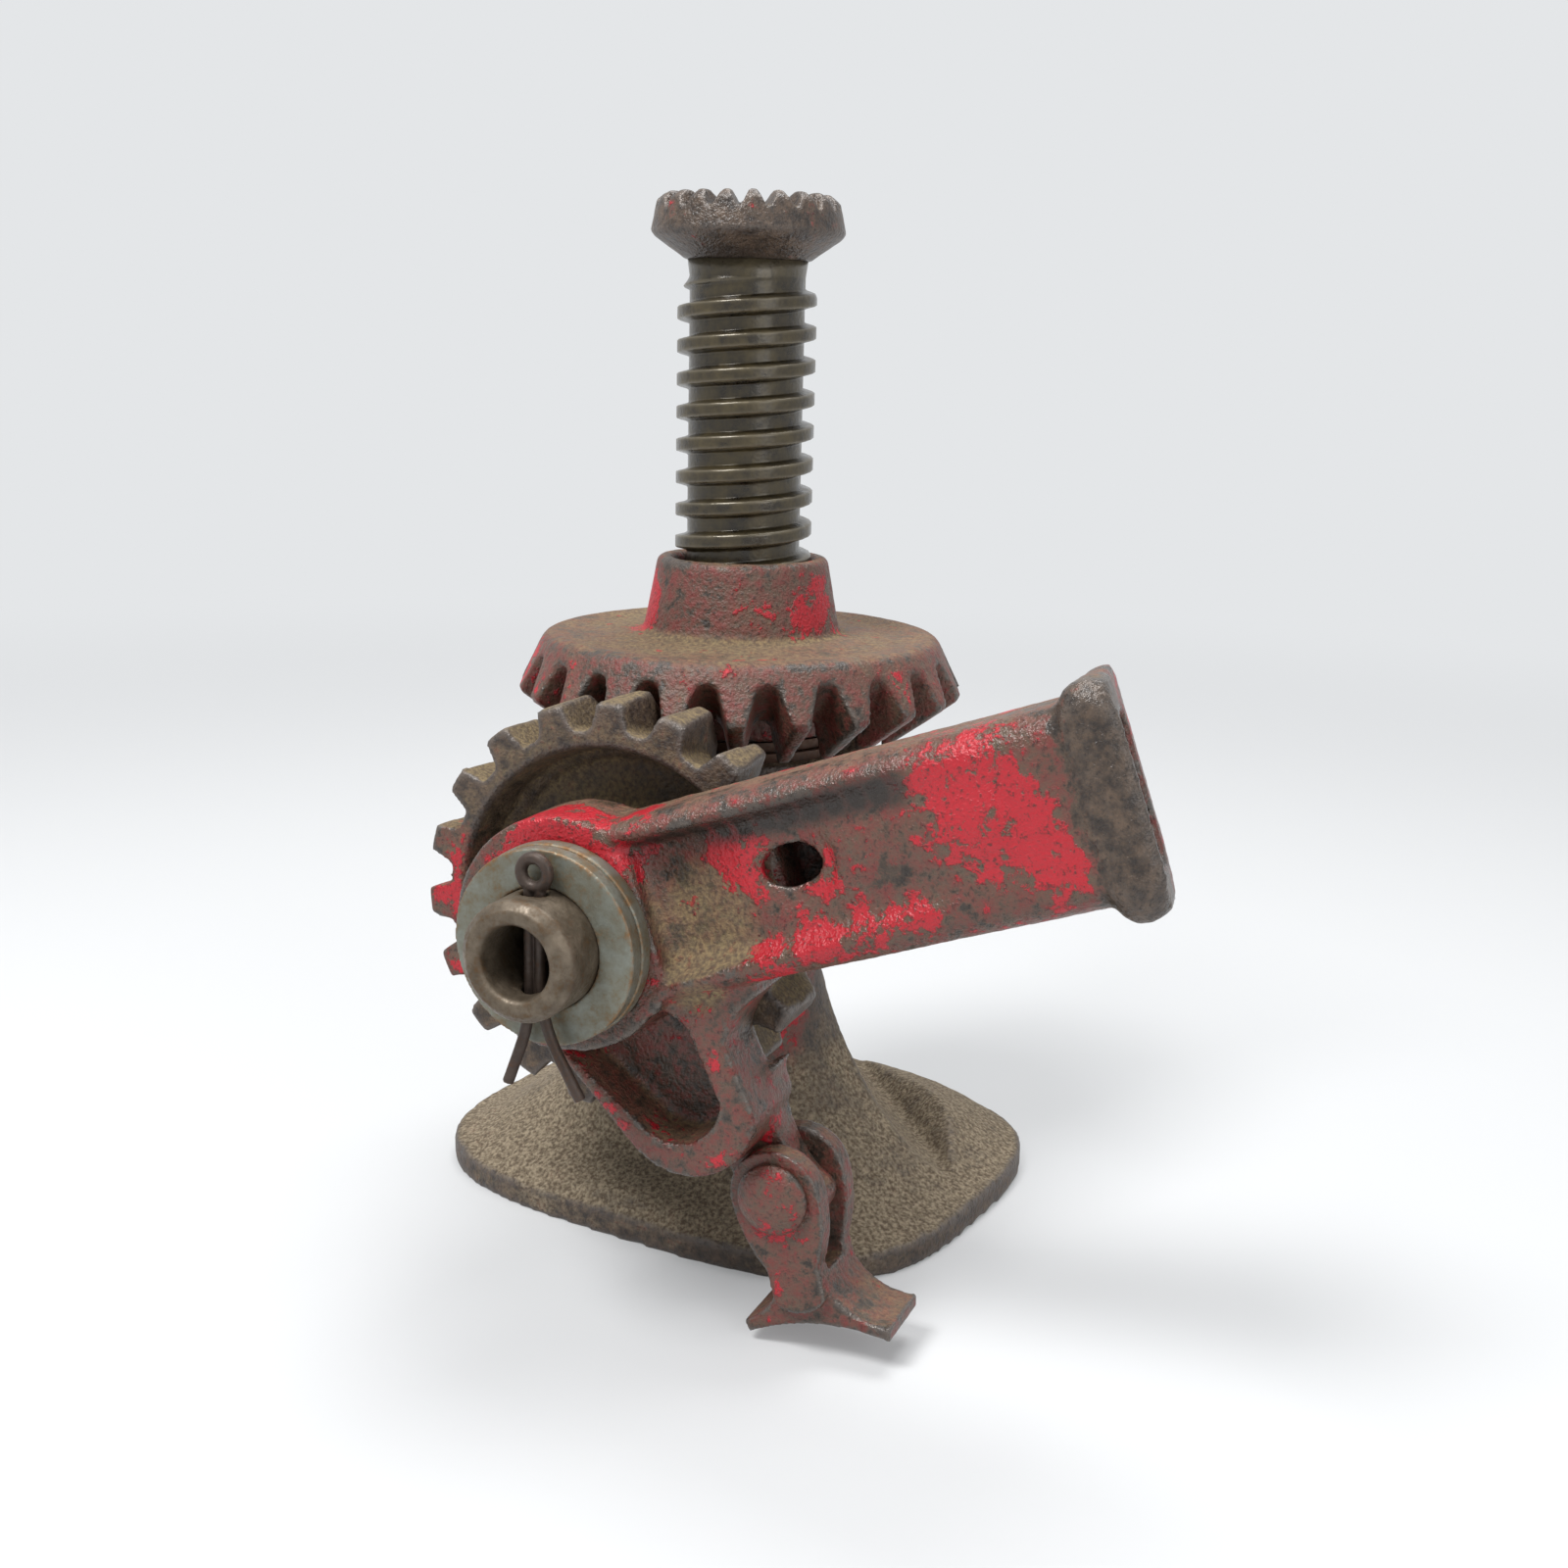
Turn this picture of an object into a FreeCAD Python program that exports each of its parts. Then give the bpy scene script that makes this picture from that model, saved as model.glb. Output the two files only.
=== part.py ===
import FreeCAD, Part
import math
import os

import Sketcher

# Railway track jack with a bevel gear drive and a ratchet lever, in millimetres.
# The origin is on the screw axis at floor level, +Z is up. The pinion axis points
# to -Y and the lever arm goes out to +X.
# Pieces on the pinion axis are drawn in their own frame: X right, Y up, Z outwards
# along the spindle, and PINION_FRAME stands them up at the axis height.

SIZES = [
    ("axis_height", 104.6),
    ("running_gap", 0.15),
    ("end_float", 0.2),
    # Lift screw
    ("screw_radius", 19.05),
    ("screw_foot", 80.0),
    ("screw_top", 257.5),
    ("neck_radius", 15.8),
    ("neck_taper", 5.5),
    ("neck_length", 9.9),
    ("spigot_radius", 9.0),
    ("foot_radius", 13.0),
    ("collar_length", 8.0),
    ("collar_radius", 19.9),
    ("collar_pin_radius", 2.5),
    # Toothed cap
    ("cap_radius", 26.4),
    ("cap_rim_rise", 7.2),
    ("cap_crown_rise", 9.9),
    ("cap_neck_radius", 17.0),
    ("cap_dish_radius", 15.0),
    ("cap_dish_depth", 3.0),
    ("cap_teeth", 20),
    ("cap_notch_depth", 4.4),
    # Bevel gears: the common cone apex is where the two axes cross
    ("crown_teeth", 23),
    ("pinion_teeth", 19),
    ("cone_radius", 60.0),
    ("crown_tip_radius", 62.9),
    ("crown_tip_rise", 45.5),
    ("crown_gap_rise", 58.4),
    ("crown_gap_root_width", 5.15),
    ("crown_gap_open_width", 13.8),
    ("crown_gap_open_rise", 40.0),
    ("crown_inner_radius", 45.0),
    ("crown_edge_radius", 56.3),
    ("crown_edge_rise", 60.0),
    ("crown_web_under", 46.9),
    ("crown_web_top", 61.8),
    ("nut_top", 82.9),
    ("nut_top_radius", 24.0),
    ("nut_root_radius", 27.4),
    ("nut_under_radius", 30.0),
    ("nut_bottom", 35.2),
    ("thrust_washer", 2.5),
    ("thrust_washer_radius", 32.0),
    ("thrust_bore_radius", 20.1),
    # Pinion
    ("pinion_tip_radius", 53.9),
    ("pinion_front", 79.3),
    ("pinion_back", 47.5),
    ("ratchet_gap_depth", 6.7),
    ("ratchet_gap_root_width", 6.0),
    ("ratchet_gap_tip_width", 11.0),
    ("bevel_gap_depth", 11.0),
    ("bevel_gap_root_width", 5.25),
    ("bevel_gap_tip_width", 14.15),
    ("dish_radius", 42.2),
    ("dish_floor", 63.5),
    ("pinion_hub_radius", 22.5),
    ("pinion_hub_front", 80.3),
    ("bush_wall", 2.45),
    # Spindle and what holds on it
    ("spindle_radius", 15.0),
    ("spindle_bore_radius", 9.0),
    ("spindle_end", 125.5),
    ("spindle_start", 21.8),
    ("spindle_chamfer", 2.2),
    ("boss_radius", 21.0),
    ("boss_end", 45.4),
    ("lock_pin_radius", 3.0),
    ("lock_pin_place", 34.0),
    ("inner_washer", 1.9),
    ("inner_washer_radius", 24.0),
    ("outer_washer", 4.4),
    ("outer_washer_radius", 24.6),
    ("cotter_radius", 2.9),
    ("cotter_hole_radius", 3.3),
    ("cotter_eye_radius", 5.0),
    ("cotter_prong_drop", 23.0),
    # Lever
    ("lever_back", 80.6),
    ("lever_front", 103.0),
    ("lever_hub_radius", 30.0),
    ("arm_angle", 20.0),
    ("arm_top", 23.8),
    ("arm_bottom", -21.6),
    ("arm_rear", 76.0),
    ("arm_face", 105.0),
    ("arm_edge_radius", 7.5),
    ("arm_end", 139.0),
    ("bead_start", 134.6),
    ("bead_end", 148.5),
    ("bead_proud", 4.0),
    ("mouth_slant", 6.2),
    ("socket_height", 35.0),
    ("socket_depth_place", 57.6),
    ("socket_rear", 80.8),
    ("socket_front", 97.5),
    ("sight_hole_radius", 5.6),
    ("sight_hole_place", 63.5),
    ("sight_hole_rise", 3.6),
    ("gear_room_radius", 56.2),
    ("recess_start", 24.0),
    ("recess_end", 106.0),
    ("recess_floor", 97.0),
    ("recess_half", 15.5),
    # Cup and lug of the lever
    ("cup_rear", 73.8),
    ("cup_face", 98.5),
    ("cup_floor", 84.6),
    ("cup_end_x", 30.5),
    ("cup_end_y", -39.0),
    ("cup_end_radius", 19.3),
    ("cup_wall", 6.2),
    ("lug_rear", 73.8),
    ("lug_face", 83.8),
    ("lug_radius", 11.0),
    ("pawl_x", 52.0),
    ("pawl_y", -63.0),
    # Pawl
    ("pawl_rear", 67.6),
    ("pawl_face", 90.2),
    ("pawl_tilt", 16.0),
    ("pawl_eye_radius", 12.0),
    ("pawl_neck_half", 7.0),
    ("pawl_foot_half", 18.2),
    ("pawl_reach", 38.0),
    ("pawl_foot_skew", 2.2),
    ("pawl_toe_extra", 3.0),
    ("pawl_cheek_end", 27.5),
    ("pawl_cheek_step", 2.2),
    ("pawl_slot_depth", 22.0),
    ("pawl_side_gap", 0.4),
    ("pawl_pin_radius", 4.9),
    ("pawl_head_radius", 9.2),
    ("pawl_head", 3.6),
    # Stand casting
    ("bore_radius", 20.5),
    ("base_width", 165.0),
    ("base_depth", 134.0),
    ("base_shift", 12.2),
    ("base_setback", -5.5),
    ("base_squareness", 3.3),
    ("base_turn", -7.5),
    ("base_edge", 8.0),
    ("shell_wall", 8.0),
    ("waist_radius", 23.9),
    ("waist_height", 78.0),
    ("head_radius", 36.0),
    ("window_half", 18.5),
    ("window_low", 46.0),
    ("window_boss_gap", 1.6),
    ("crease_distance", 56.0),
    ("crease_height", 10.5),
    ("crease_angle", 37.8),
]

# The rolled lip of the mouth: share of its length, share of its full swell
MOUTH_LIP = [(0, 0.1), (0.12, 0.6), (0.32, 0.95), (0.55, 1), (0.8, 0.78), (0.94, 0.35), (1, -0.2)]

# Heights that follow from others
CAP_SEAT = "screw_top + neck_length"
CAP_RIM = CAP_SEAT + " + cap_rim_rise"
CAP_TOP = CAP_RIM + " + cap_crown_rise"
NUT_BOTTOM = "axis_height + nut_bottom"
COLUMN_TOP = NUT_BOTTOM + " - thrust_washer * 2 - end_float"

document = FreeCAD.newDocument("TrackJack")
sheet = document.addObject("Spreadsheet::Sheet", "Sizes")
for row, (alias, value) in enumerate(SIZES, start=1):
    sheet.set(f"A{row}", alias)
    sheet.set(f"B{row}", str(value))
    sheet.setAlias(f"B{row}", alias)
document.recompute()

PINION_FRAME = FreeCAD.Placement(
    FreeCAD.Vector(0, 0, sheet.axis_height),
    FreeCAD.Rotation(FreeCAD.Vector(1, 0, 0), 90),
)
sub_parts = []


def named(expression):
    """Put the sheet's name before each alias of an expression."""
    words = []
    for word in expression.split():
        plain = word.strip("()")
        if plain and (plain[0].isalpha() and "_" in plain):
            word = word.replace(plain, "Sizes." + plain)
        words.append(word)
    return " ".join(words)


def size(expression):
    """The number that an expression of the sheet's aliases gives."""
    return float(sheet.evalExpression(named(expression).replace("Sizes.", "")))


def bind(item, field, expression):
    item.setExpression(field, named(expression))


def keep(item, label):
    """Take an object as a finished sub-part with its own name."""
    item.Label = label
    sub_parts.append(item)
    return item


def new_body(label, placement=None):
    body = document.addObject("PartDesign::Body", label + "_body")
    if placement:
        body.Placement = placement
    return keep(body, label)


def plane_of(body, role):
    for feature in body.Origin.OriginFeatures:
        if feature.Role == role:
            return feature
    raise RuntimeError("no plane " + role)


def new_sketch(body, name, role="XY_Plane", lift="0", turn="0"):
    """An empty sketch on one of the body's planes, lifted and turned about its normal."""
    sketch = body.newObject("Sketcher::SketchObject", name)
    sketch.AttachmentSupport = [(plane_of(body, role), "")]
    sketch.MapMode = "FlatFace"
    bind(sketch, ".AttachmentOffset.Base.z", lift)
    turned = FreeCAD.Rotation(FreeCAD.Vector(0, 0, 1), size(turn))
    sketch.AttachmentOffset = FreeCAD.Placement(FreeCAD.Vector(0, 0, size(lift)), turned)
    if turn != "0":
        bind(sketch, ".AttachmentOffset.Rotation.Angle", turn)
        bind(sketch, ".AttachmentOffset.Rotation.Axis.z", "1")
    return sketch


def fix_point(sketch, edge, end, place):
    for kind, expression in zip(("DistanceX", "DistanceY"), place):
        index = sketch.addConstraint(Sketcher.Constraint(kind, -1, 1, edge, end, size(expression)))
        bind(sketch, f"Constraints[{index}]", expression)


def outline(sketch, points):
    """A closed outline through points (x, y), each an expression of the sheet.

    A third value is the radius of an arc from that point to the next one,
    positive where the arc turns left.
    """
    places = [FreeCAD.Vector(size(point[0]), size(point[1]), 0) for point in points]
    edges = []
    for number, point in enumerate(points):
        start = places[number]
        end = places[(number + 1) % len(points)]
        if len(point) == 2:
            edges.append(sketch.addGeometry(Part.LineSegment(start, end)))
            continue
        radius = size(point[2])
        chord = end - start
        half = chord.Length / 2
        rise = math.sqrt(max(radius * radius - half * half, 0))
        side = FreeCAD.Vector(-chord.y, chord.x, 0).normalize()
        middle = (start + end) / 2
        sign = 1 if radius > 0 else -1
        centre = middle + side * rise * sign
        top = centre - side * max(abs(radius), half) * sign
        edges.append(sketch.addGeometry(Part.Arc(start, top, end)))
    for number, edge in enumerate(edges):
        after = edges[(number + 1) % len(edges)]
        here = points[number]
        follows = points[(number + 1) % len(points)]
        edge_end = 1 if len(here) == 3 and size(here[2]) < 0 else 2
        after_start = 2 if len(follows) == 3 and size(follows[2]) < 0 else 1
        sketch.addConstraint(Sketcher.Constraint("Coincident", edge, edge_end, after, after_start))
        start_end = 2 if edge_end == 1 else 1
        fix_point(sketch, edge, start_end, here)
        if len(here) == 3:
            radius = here[2]
            index = sketch.addConstraint(Sketcher.Constraint("Radius", edge, abs(size(radius))))
            bind(sketch, f"Constraints[{index}]", f"abs( {radius} )")


def circle(sketch, radius, x="0", y="0"):
    middle = FreeCAD.Vector(size(x), size(y), 0)
    edge = sketch.addGeometry(Part.Circle(middle, FreeCAD.Vector(0, 0, 1), size(radius)))
    fix_point(sketch, edge, 3, (x, y))
    index = sketch.addConstraint(Sketcher.Constraint("Radius", edge, size(radius)))
    bind(sketch, f"Constraints[{index}]", radius)


def ring(sketch, outer, inner):
    circle(sketch, outer)
    circle(sketch, inner)


def rounded(sketch, left, low, right, high, corner):
    """A rectangle with round corners."""
    outline(sketch, [
        (f"{left} + {corner}", low),
        (f"{right} - {corner}", low, corner),
        (right, f"{low} + {corner}"),
        (right, f"{high} - {corner}", corner),
        (f"{right} - {corner}", high),
        (f"{left} + {corner}", high, corner),
        (left, f"{high} - {corner}"),
        (left, f"{low} + {corner}", corner),
    ])


def extrude(body, kind, sketch, length, reverse=False, name="Run"):
    feature = body.newObject("PartDesign::" + kind, sketch.Name + name)
    feature.Profile = sketch
    bind(feature, "Length", length)
    feature.Length = size(length)
    feature.Reversed = reverse
    sketch.Visibility = False
    return feature


def pad(body, sketch, length, reverse=False):
    return extrude(body, "Pad", sketch, length, reverse)


def pocket(body, sketch, length, reverse=False):
    return extrude(body, "Pocket", sketch, length, reverse)


def turned(body, points, kind="Revolution"):
    """Revolve an outline in the XZ plane about Z; its points are (radius, height)."""
    sketch = new_sketch(body, body.Name + kind + "Profile", "XZ_Plane")
    outline(sketch, points)
    feature = body.newObject("PartDesign::" + kind, body.Name + kind)
    feature.Profile = sketch
    feature.ReferenceAxis = (sketch, ["V_Axis"])
    feature.Angle = 360
    return feature


def around(body, feature, count):
    """Repeat a feature about the body's Z axis."""
    pattern = body.newObject("PartDesign::PolarPattern", feature.Name + "Ring")
    pattern.Originals = [feature]
    for axis in body.Origin.OriginFeatures:
        if axis.Role == "Z_Axis":
            pattern.Axis = (axis, [""])
    pattern.Angle = 360
    pattern.Occurrences = int(size(count))
    bind(pattern, "Occurrences", count)
    body.Tip = pattern
    return pattern


def lofted_gap(body, sections, ruled=True):
    loft = body.newObject("PartDesign::SubtractiveLoft", body.Name + "Gap")
    loft.Profile = sections[0]
    loft.Sections = sections[1:]
    loft.Ruled = ruled
    return loft


def washer(label, thickness, outer, inner, place, on_spindle):
    body = new_body(label, PINION_FRAME if on_spindle else None)
    sketch = new_sketch(body, label + "_face", lift=place)
    ring(sketch, outer, inner)
    pad(body, sketch, thickness)


def lift_screw():
    body = new_body("lift_screw")
    turned(body, [
        ("0", "screw_foot"),
        ("foot_radius", "screw_foot"),
        ("foot_radius", "screw_foot + collar_length"),
        ("screw_radius - 2", "screw_foot + collar_length"),
        ("screw_radius", "screw_foot + collar_length + 3"),
        ("screw_radius", "screw_top"),
        ("neck_radius", "screw_top + neck_taper"),
        ("neck_radius + 0.8", CAP_SEAT),
        ("spigot_radius", CAP_SEAT),
        ("spigot_radius", CAP_TOP + " - cap_dish_depth - 1"),
        ("0", CAP_TOP + " - cap_dish_depth - 1"),
    ])
    hole = new_sketch(body, "screw_pin_hole", "YZ_Plane", "0 - collar_radius")
    circle(hole, "collar_pin_radius", "0", "screw_foot + collar_length / 2")
    pocket(body, hole, "collar_radius * 2", True)


def stop_collar():
    body = new_body("screw_stop_collar")
    turned(body, [
        ("foot_radius", "screw_foot"),
        ("collar_radius - 1", "screw_foot"),
        ("collar_radius", "screw_foot + 1"),
        ("collar_radius", "screw_foot + collar_length"),
        ("foot_radius", "screw_foot + collar_length"),
    ])
    hole = new_sketch(body, "collar_pin_hole", "YZ_Plane", "0 - collar_radius")
    circle(hole, "collar_pin_radius", "0", "screw_foot + collar_length / 2")
    pocket(body, hole, "collar_radius * 2", True)
    pin = new_body("stop_collar_pin")
    sketch = new_sketch(pin, "collar_pin_end", "YZ_Plane", "0.6 - collar_radius")
    circle(sketch, "collar_pin_radius", "0", "screw_foot + collar_length / 2")
    pad(pin, sketch, "collar_radius * 2 - 1.2")


def toothed_cap():
    """The load head: a dished disc with a cone under it and blunt teeth round its rim."""
    body = new_body("toothed_cap")
    turned(body, [
        ("spigot_radius", CAP_SEAT),
        ("cap_neck_radius", CAP_SEAT),
        ("cap_radius - 1.2", CAP_RIM + " - 1.5"),
        ("cap_radius", CAP_RIM),
        ("cap_radius - 1.6", CAP_TOP + " - 2"),
        ("cap_radius - 4", CAP_TOP),
        ("cap_radius - 6.5", CAP_TOP),
        ("cap_dish_radius", CAP_TOP + " - cap_dish_depth"),
        ("spigot_radius", CAP_TOP + " - cap_dish_depth"),
    ])
    sections = []
    for name, place, share in (("outer", "cap_radius + 2", 1.0), ("inner", "cap_dish_radius", 0.6)):
        sketch = new_sketch(body, "cap_notch_" + name, "YZ_Plane", place)
        outline(sketch, [
            (f"-0.6 * {share}", CAP_TOP + " - cap_notch_depth"),
            (f"0.6 * {share}", CAP_TOP + " - cap_notch_depth"),
            (f"3.6 * {share}", CAP_TOP + " + 1"),
            (f"-3.6 * {share}", CAP_TOP + " + 1"),
        ])
        sections.append(sketch)
    around(body, lofted_gap(body, sections), "cap_teeth")


def crown_gap(body, place):
    """One section of the gap between two crown teeth, at a distance from the axis."""
    sketch = new_sketch(body, "crown_gap_" + place.split("_")[0], "YZ_Plane", place)
    scale = f"* ( {place} ) / cone_radius"
    root = f"axis_height + crown_gap_rise {scale}"
    shoulder = f"axis_height + ( crown_gap_rise - 1.6 ) {scale}"
    opening = f"axis_height + crown_gap_open_rise {scale}"
    outline(sketch, [
        (f"-1 * crown_gap_open_width / 2 {scale}", opening),
        (f"crown_gap_open_width / 2 {scale}", opening),
        (f"( crown_gap_root_width + 0.6 ) / 2 {scale}", shoulder),
        (f"( crown_gap_root_width / 2 - 0.9 ) {scale}", root),
        (f"-1 * ( crown_gap_root_width / 2 - 0.9 ) {scale}", root),
        (f"-1 * ( crown_gap_root_width + 0.6 ) / 2 {scale}", shoulder),
    ])
    return sketch


def crown_gear():
    """Crown gear and nut in one casting: the teeth hang under a conical skirt."""
    body = new_body("crown_gear")
    inner_rise = "axis_height + crown_tip_rise * crown_inner_radius / crown_tip_radius"
    turned(body, [
        ("screw_radius + running_gap", NUT_BOTTOM),
        ("nut_under_radius", NUT_BOTTOM),
        ("nut_under_radius + 1.5", "axis_height + crown_web_under"),
        ("crown_inner_radius", "axis_height + crown_web_under"),
        ("crown_inner_radius", inner_rise),
        ("crown_tip_radius - 0.8", "axis_height + crown_tip_rise - 0.6"),
        ("crown_tip_radius", "axis_height + crown_tip_rise + 1"),
        ("crown_edge_radius", "axis_height + crown_edge_rise - 0.6"),
        ("crown_edge_radius - 1.2", "axis_height + crown_edge_rise + 0.8"),
        ("crown_edge_radius - 4", "axis_height + crown_web_top - 0.3"),
        ("crown_edge_radius - 12", "axis_height + crown_web_top - 1.2"),
        ("nut_root_radius + 2", "axis_height + crown_web_top", "-2.2"),
        ("nut_root_radius", "axis_height + crown_web_top + 2"),
        ("nut_top_radius", "axis_height + nut_top - 1.2"),
        ("nut_top_radius - 1.2", "axis_height + nut_top"),
        ("screw_radius + running_gap + 1.4", "axis_height + nut_top"),
        ("screw_radius + running_gap", "axis_height + nut_top - 1.4"),
    ])
    sections = [crown_gap(body, "crown_tip_radius + 4"), crown_gap(body, "nut_under_radius + 10")]
    gap = lofted_gap(body, sections)
    around(body, gap, "crown_teeth")
    turn_to_mesh = FreeCAD.Rotation(FreeCAD.Vector(0, 0, 1), -90)
    body.Placement = FreeCAD.Placement(FreeCAD.Vector(0, 0, 0), turn_to_mesh)


def pinion_gap(body, name, place, root, root_width, far, far_width):
    """One section of the gap between two pinion teeth, at a place along the axis."""
    sketch = new_sketch(body, "pinion_gap_" + name, lift=place)
    outline(sketch, [
        (f"-1 * ( {root_width} ) / 2", f"{root} + 0.8"),
        (f"-1 * ( {root_width} ) / 2 + 0.9", root),
        (f"( {root_width} ) / 2 - 0.9", root),
        (f"( {root_width} ) / 2", f"{root} + 0.8"),
        (f"( {far_width} ) / 2", far),
        (f"-1 * ( {far_width} ) / 2", far),
    ])
    return sketch


def pinion_gear():
    """Dished bevel pinion whose rim carries the teeth on forwards as a ratchet."""
    body = new_body("pinion_gear", PINION_FRAME)
    bore = "spindle_radius + running_gap + bush_wall"
    turned(body, [
        (bore, "pinion_back"),
        ("pinion_tip_radius * pinion_back / cone_radius", "pinion_back"),
        ("pinion_tip_radius", "cone_radius"),
        ("pinion_tip_radius", "pinion_front - 0.8"),
        ("pinion_tip_radius - 0.8", "pinion_front"),
        ("dish_radius + 1", "pinion_front"),
        ("dish_radius", "pinion_front - 1"),
        ("dish_radius - 2", "dish_floor + 3", "3"),
        ("dish_radius - 5", "dish_floor"),
        ("pinion_hub_radius + 2", "dish_floor"),
        ("pinion_hub_radius", "dish_floor + 3"),
        ("pinion_hub_radius", "pinion_hub_front"),
        (bore, "pinion_hub_front"),
    ])
    tip = "pinion_tip_radius"
    over = 6.0
    front_open = f"ratchet_gap_tip_width + {over} * ( ratchet_gap_tip_width - ratchet_gap_root_width )"
    bevel_open = f"bevel_gap_tip_width + {over} * ( bevel_gap_tip_width - bevel_gap_root_width )"
    inner = "* ( pinion_back - 2 ) / cone_radius"
    sections = [
        pinion_gap(body, "front", "pinion_front + 1", f"{tip} - ratchet_gap_depth",
                   "ratchet_gap_root_width", f"{tip} + {over}", front_open + " / ratchet_gap_depth"),
        pinion_gap(body, "middle", "cone_radius", f"{tip} - bevel_gap_depth",
                   "bevel_gap_root_width", f"{tip} + {over}", bevel_open + " / bevel_gap_depth"),
        pinion_gap(body, "back", "pinion_back - 2", f"( {tip} - bevel_gap_depth - 0.8 ) {inner}",
                   f"bevel_gap_root_width {inner}", f"( {tip} + {over} ) {inner}",
                   f"( {bevel_open} / bevel_gap_depth ) {inner}"),
    ]
    gap = lofted_gap(body, sections)
    around(body, gap, "pinion_teeth")
    half_tooth = FreeCAD.Rotation(FreeCAD.Vector(0, 0, 1), 180 / size("pinion_teeth"))
    body.Placement = PINION_FRAME.multiply(FreeCAD.Placement(FreeCAD.Vector(0, 0, 0), half_tooth))


def bush(label, start, end):
    """A plain bush pressed into a hub, running on the spindle."""
    body = new_body(label, PINION_FRAME)
    sketch = new_sketch(body, label + "_face", lift=start)
    ring(sketch, "spindle_radius + running_gap + bush_wall", "spindle_radius + running_gap")
    pad(body, sketch, f"{end} - ( {start} )")


def pinion_spindle():
    """Hollow spindle pressed into the boss of the stand."""
    body = new_body("pinion_spindle", PINION_FRAME)
    turned(body, [
        ("spindle_bore_radius", "spindle_start"),
        ("spindle_radius", "spindle_start"),
        ("spindle_radius", "spindle_end - spindle_chamfer"),
        ("spindle_radius - spindle_chamfer", "spindle_end"),
        ("spindle_bore_radius + 1", "spindle_end"),
        ("spindle_bore_radius", "spindle_end - 1"),
    ])
    for name, radius, place in (
        ("cotter_hole", "cotter_hole_radius", "lever_front + end_float + outer_washer * 2 + cotter_hole_radius"),
        ("lock_pin_hole", "lock_pin_radius", "lock_pin_place"),
    ):
        hole = new_sketch(body, "spindle_" + name, "XZ_Plane", "0 - spindle_radius - 1")
        circle(hole, radius, "0", place)
        pocket(body, hole, "spindle_radius * 2 + 2", True)


def lock_pin():
    body = new_body("spindle_lock_pin", PINION_FRAME)
    sketch = new_sketch(body, "lock_pin_end", "XZ_Plane", "0 - boss_radius + 0.8")
    circle(sketch, "lock_pin_radius", "0", "lock_pin_place")
    pad(body, sketch, "boss_radius * 2 - 1.6")


def swept(points, radius):
    """A round bar along straight runs joined by tangent arcs at the inner points."""
    edges = []
    last = points[0]
    for number in range(1, len(points) - 1):
        corner = points[number]
        back = (points[number - 1] - corner).normalize()
        ahead = (points[number + 1] - corner).normalize()
        turn = math.pi - back.getAngle(ahead)
        room = min((points[number - 1] - corner).Length, (points[number + 1] - corner).Length) * 0.45
        bend = room / math.tan(turn / 2)
        start = corner + back * room
        end = corner + ahead * room
        inward = (back + ahead).normalize()
        centre = corner + inward * (bend / math.cos(turn / 2))
        middle = centre - inward * bend
        edges.append(Part.LineSegment(last, start).toShape())
        edges.append(Part.Arc(start, middle, end).toShape())
        last = end
    edges.append(Part.LineSegment(last, points[-1]).toShape())
    path = Part.Wire(edges)
    direction = (points[1] - points[0]).normalize()
    rim = Part.Wire(Part.Circle(points[0], direction, radius).toShape())
    return path.makePipeShell([rim], True, False)


def cotter_pin():
    """Split pin: eye on top of the spindle, two legs through it, prongs splayed below."""
    place = size("lever_front + end_float + outer_washer * 2 + cotter_hole_radius")
    radius = size("cotter_radius")
    leg = radius / 2
    top = size("spindle_radius")
    eye = size("cotter_eye_radius")
    drop = size("cotter_prong_drop")
    legs = []
    for side, spread, share in ((-1, 5.5, 0.8), (1, 11.5, 0.85)):
        points = [
            FreeCAD.Vector(side * leg, top + 2, place),
            FreeCAD.Vector(side * leg, -top - 2, place),
            FreeCAD.Vector(side * (leg + spread), -top - drop * share, place + 1.5),
        ]
        legs.append(swept(points, leg * 0.98))
    torus = Part.makeTorus(eye - leg, leg * 1.05)
    torus.translate(FreeCAD.Vector(0, top + eye - 0.4, place))
    shape = legs[0].fuse([legs[1], torus]).removeSplitter()
    feature = document.addObject("Part::Feature", "cotter_pin_shape")
    feature.Shape = shape
    feature.Placement = PINION_FRAME
    keep(feature, "cotter_pin")


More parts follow.
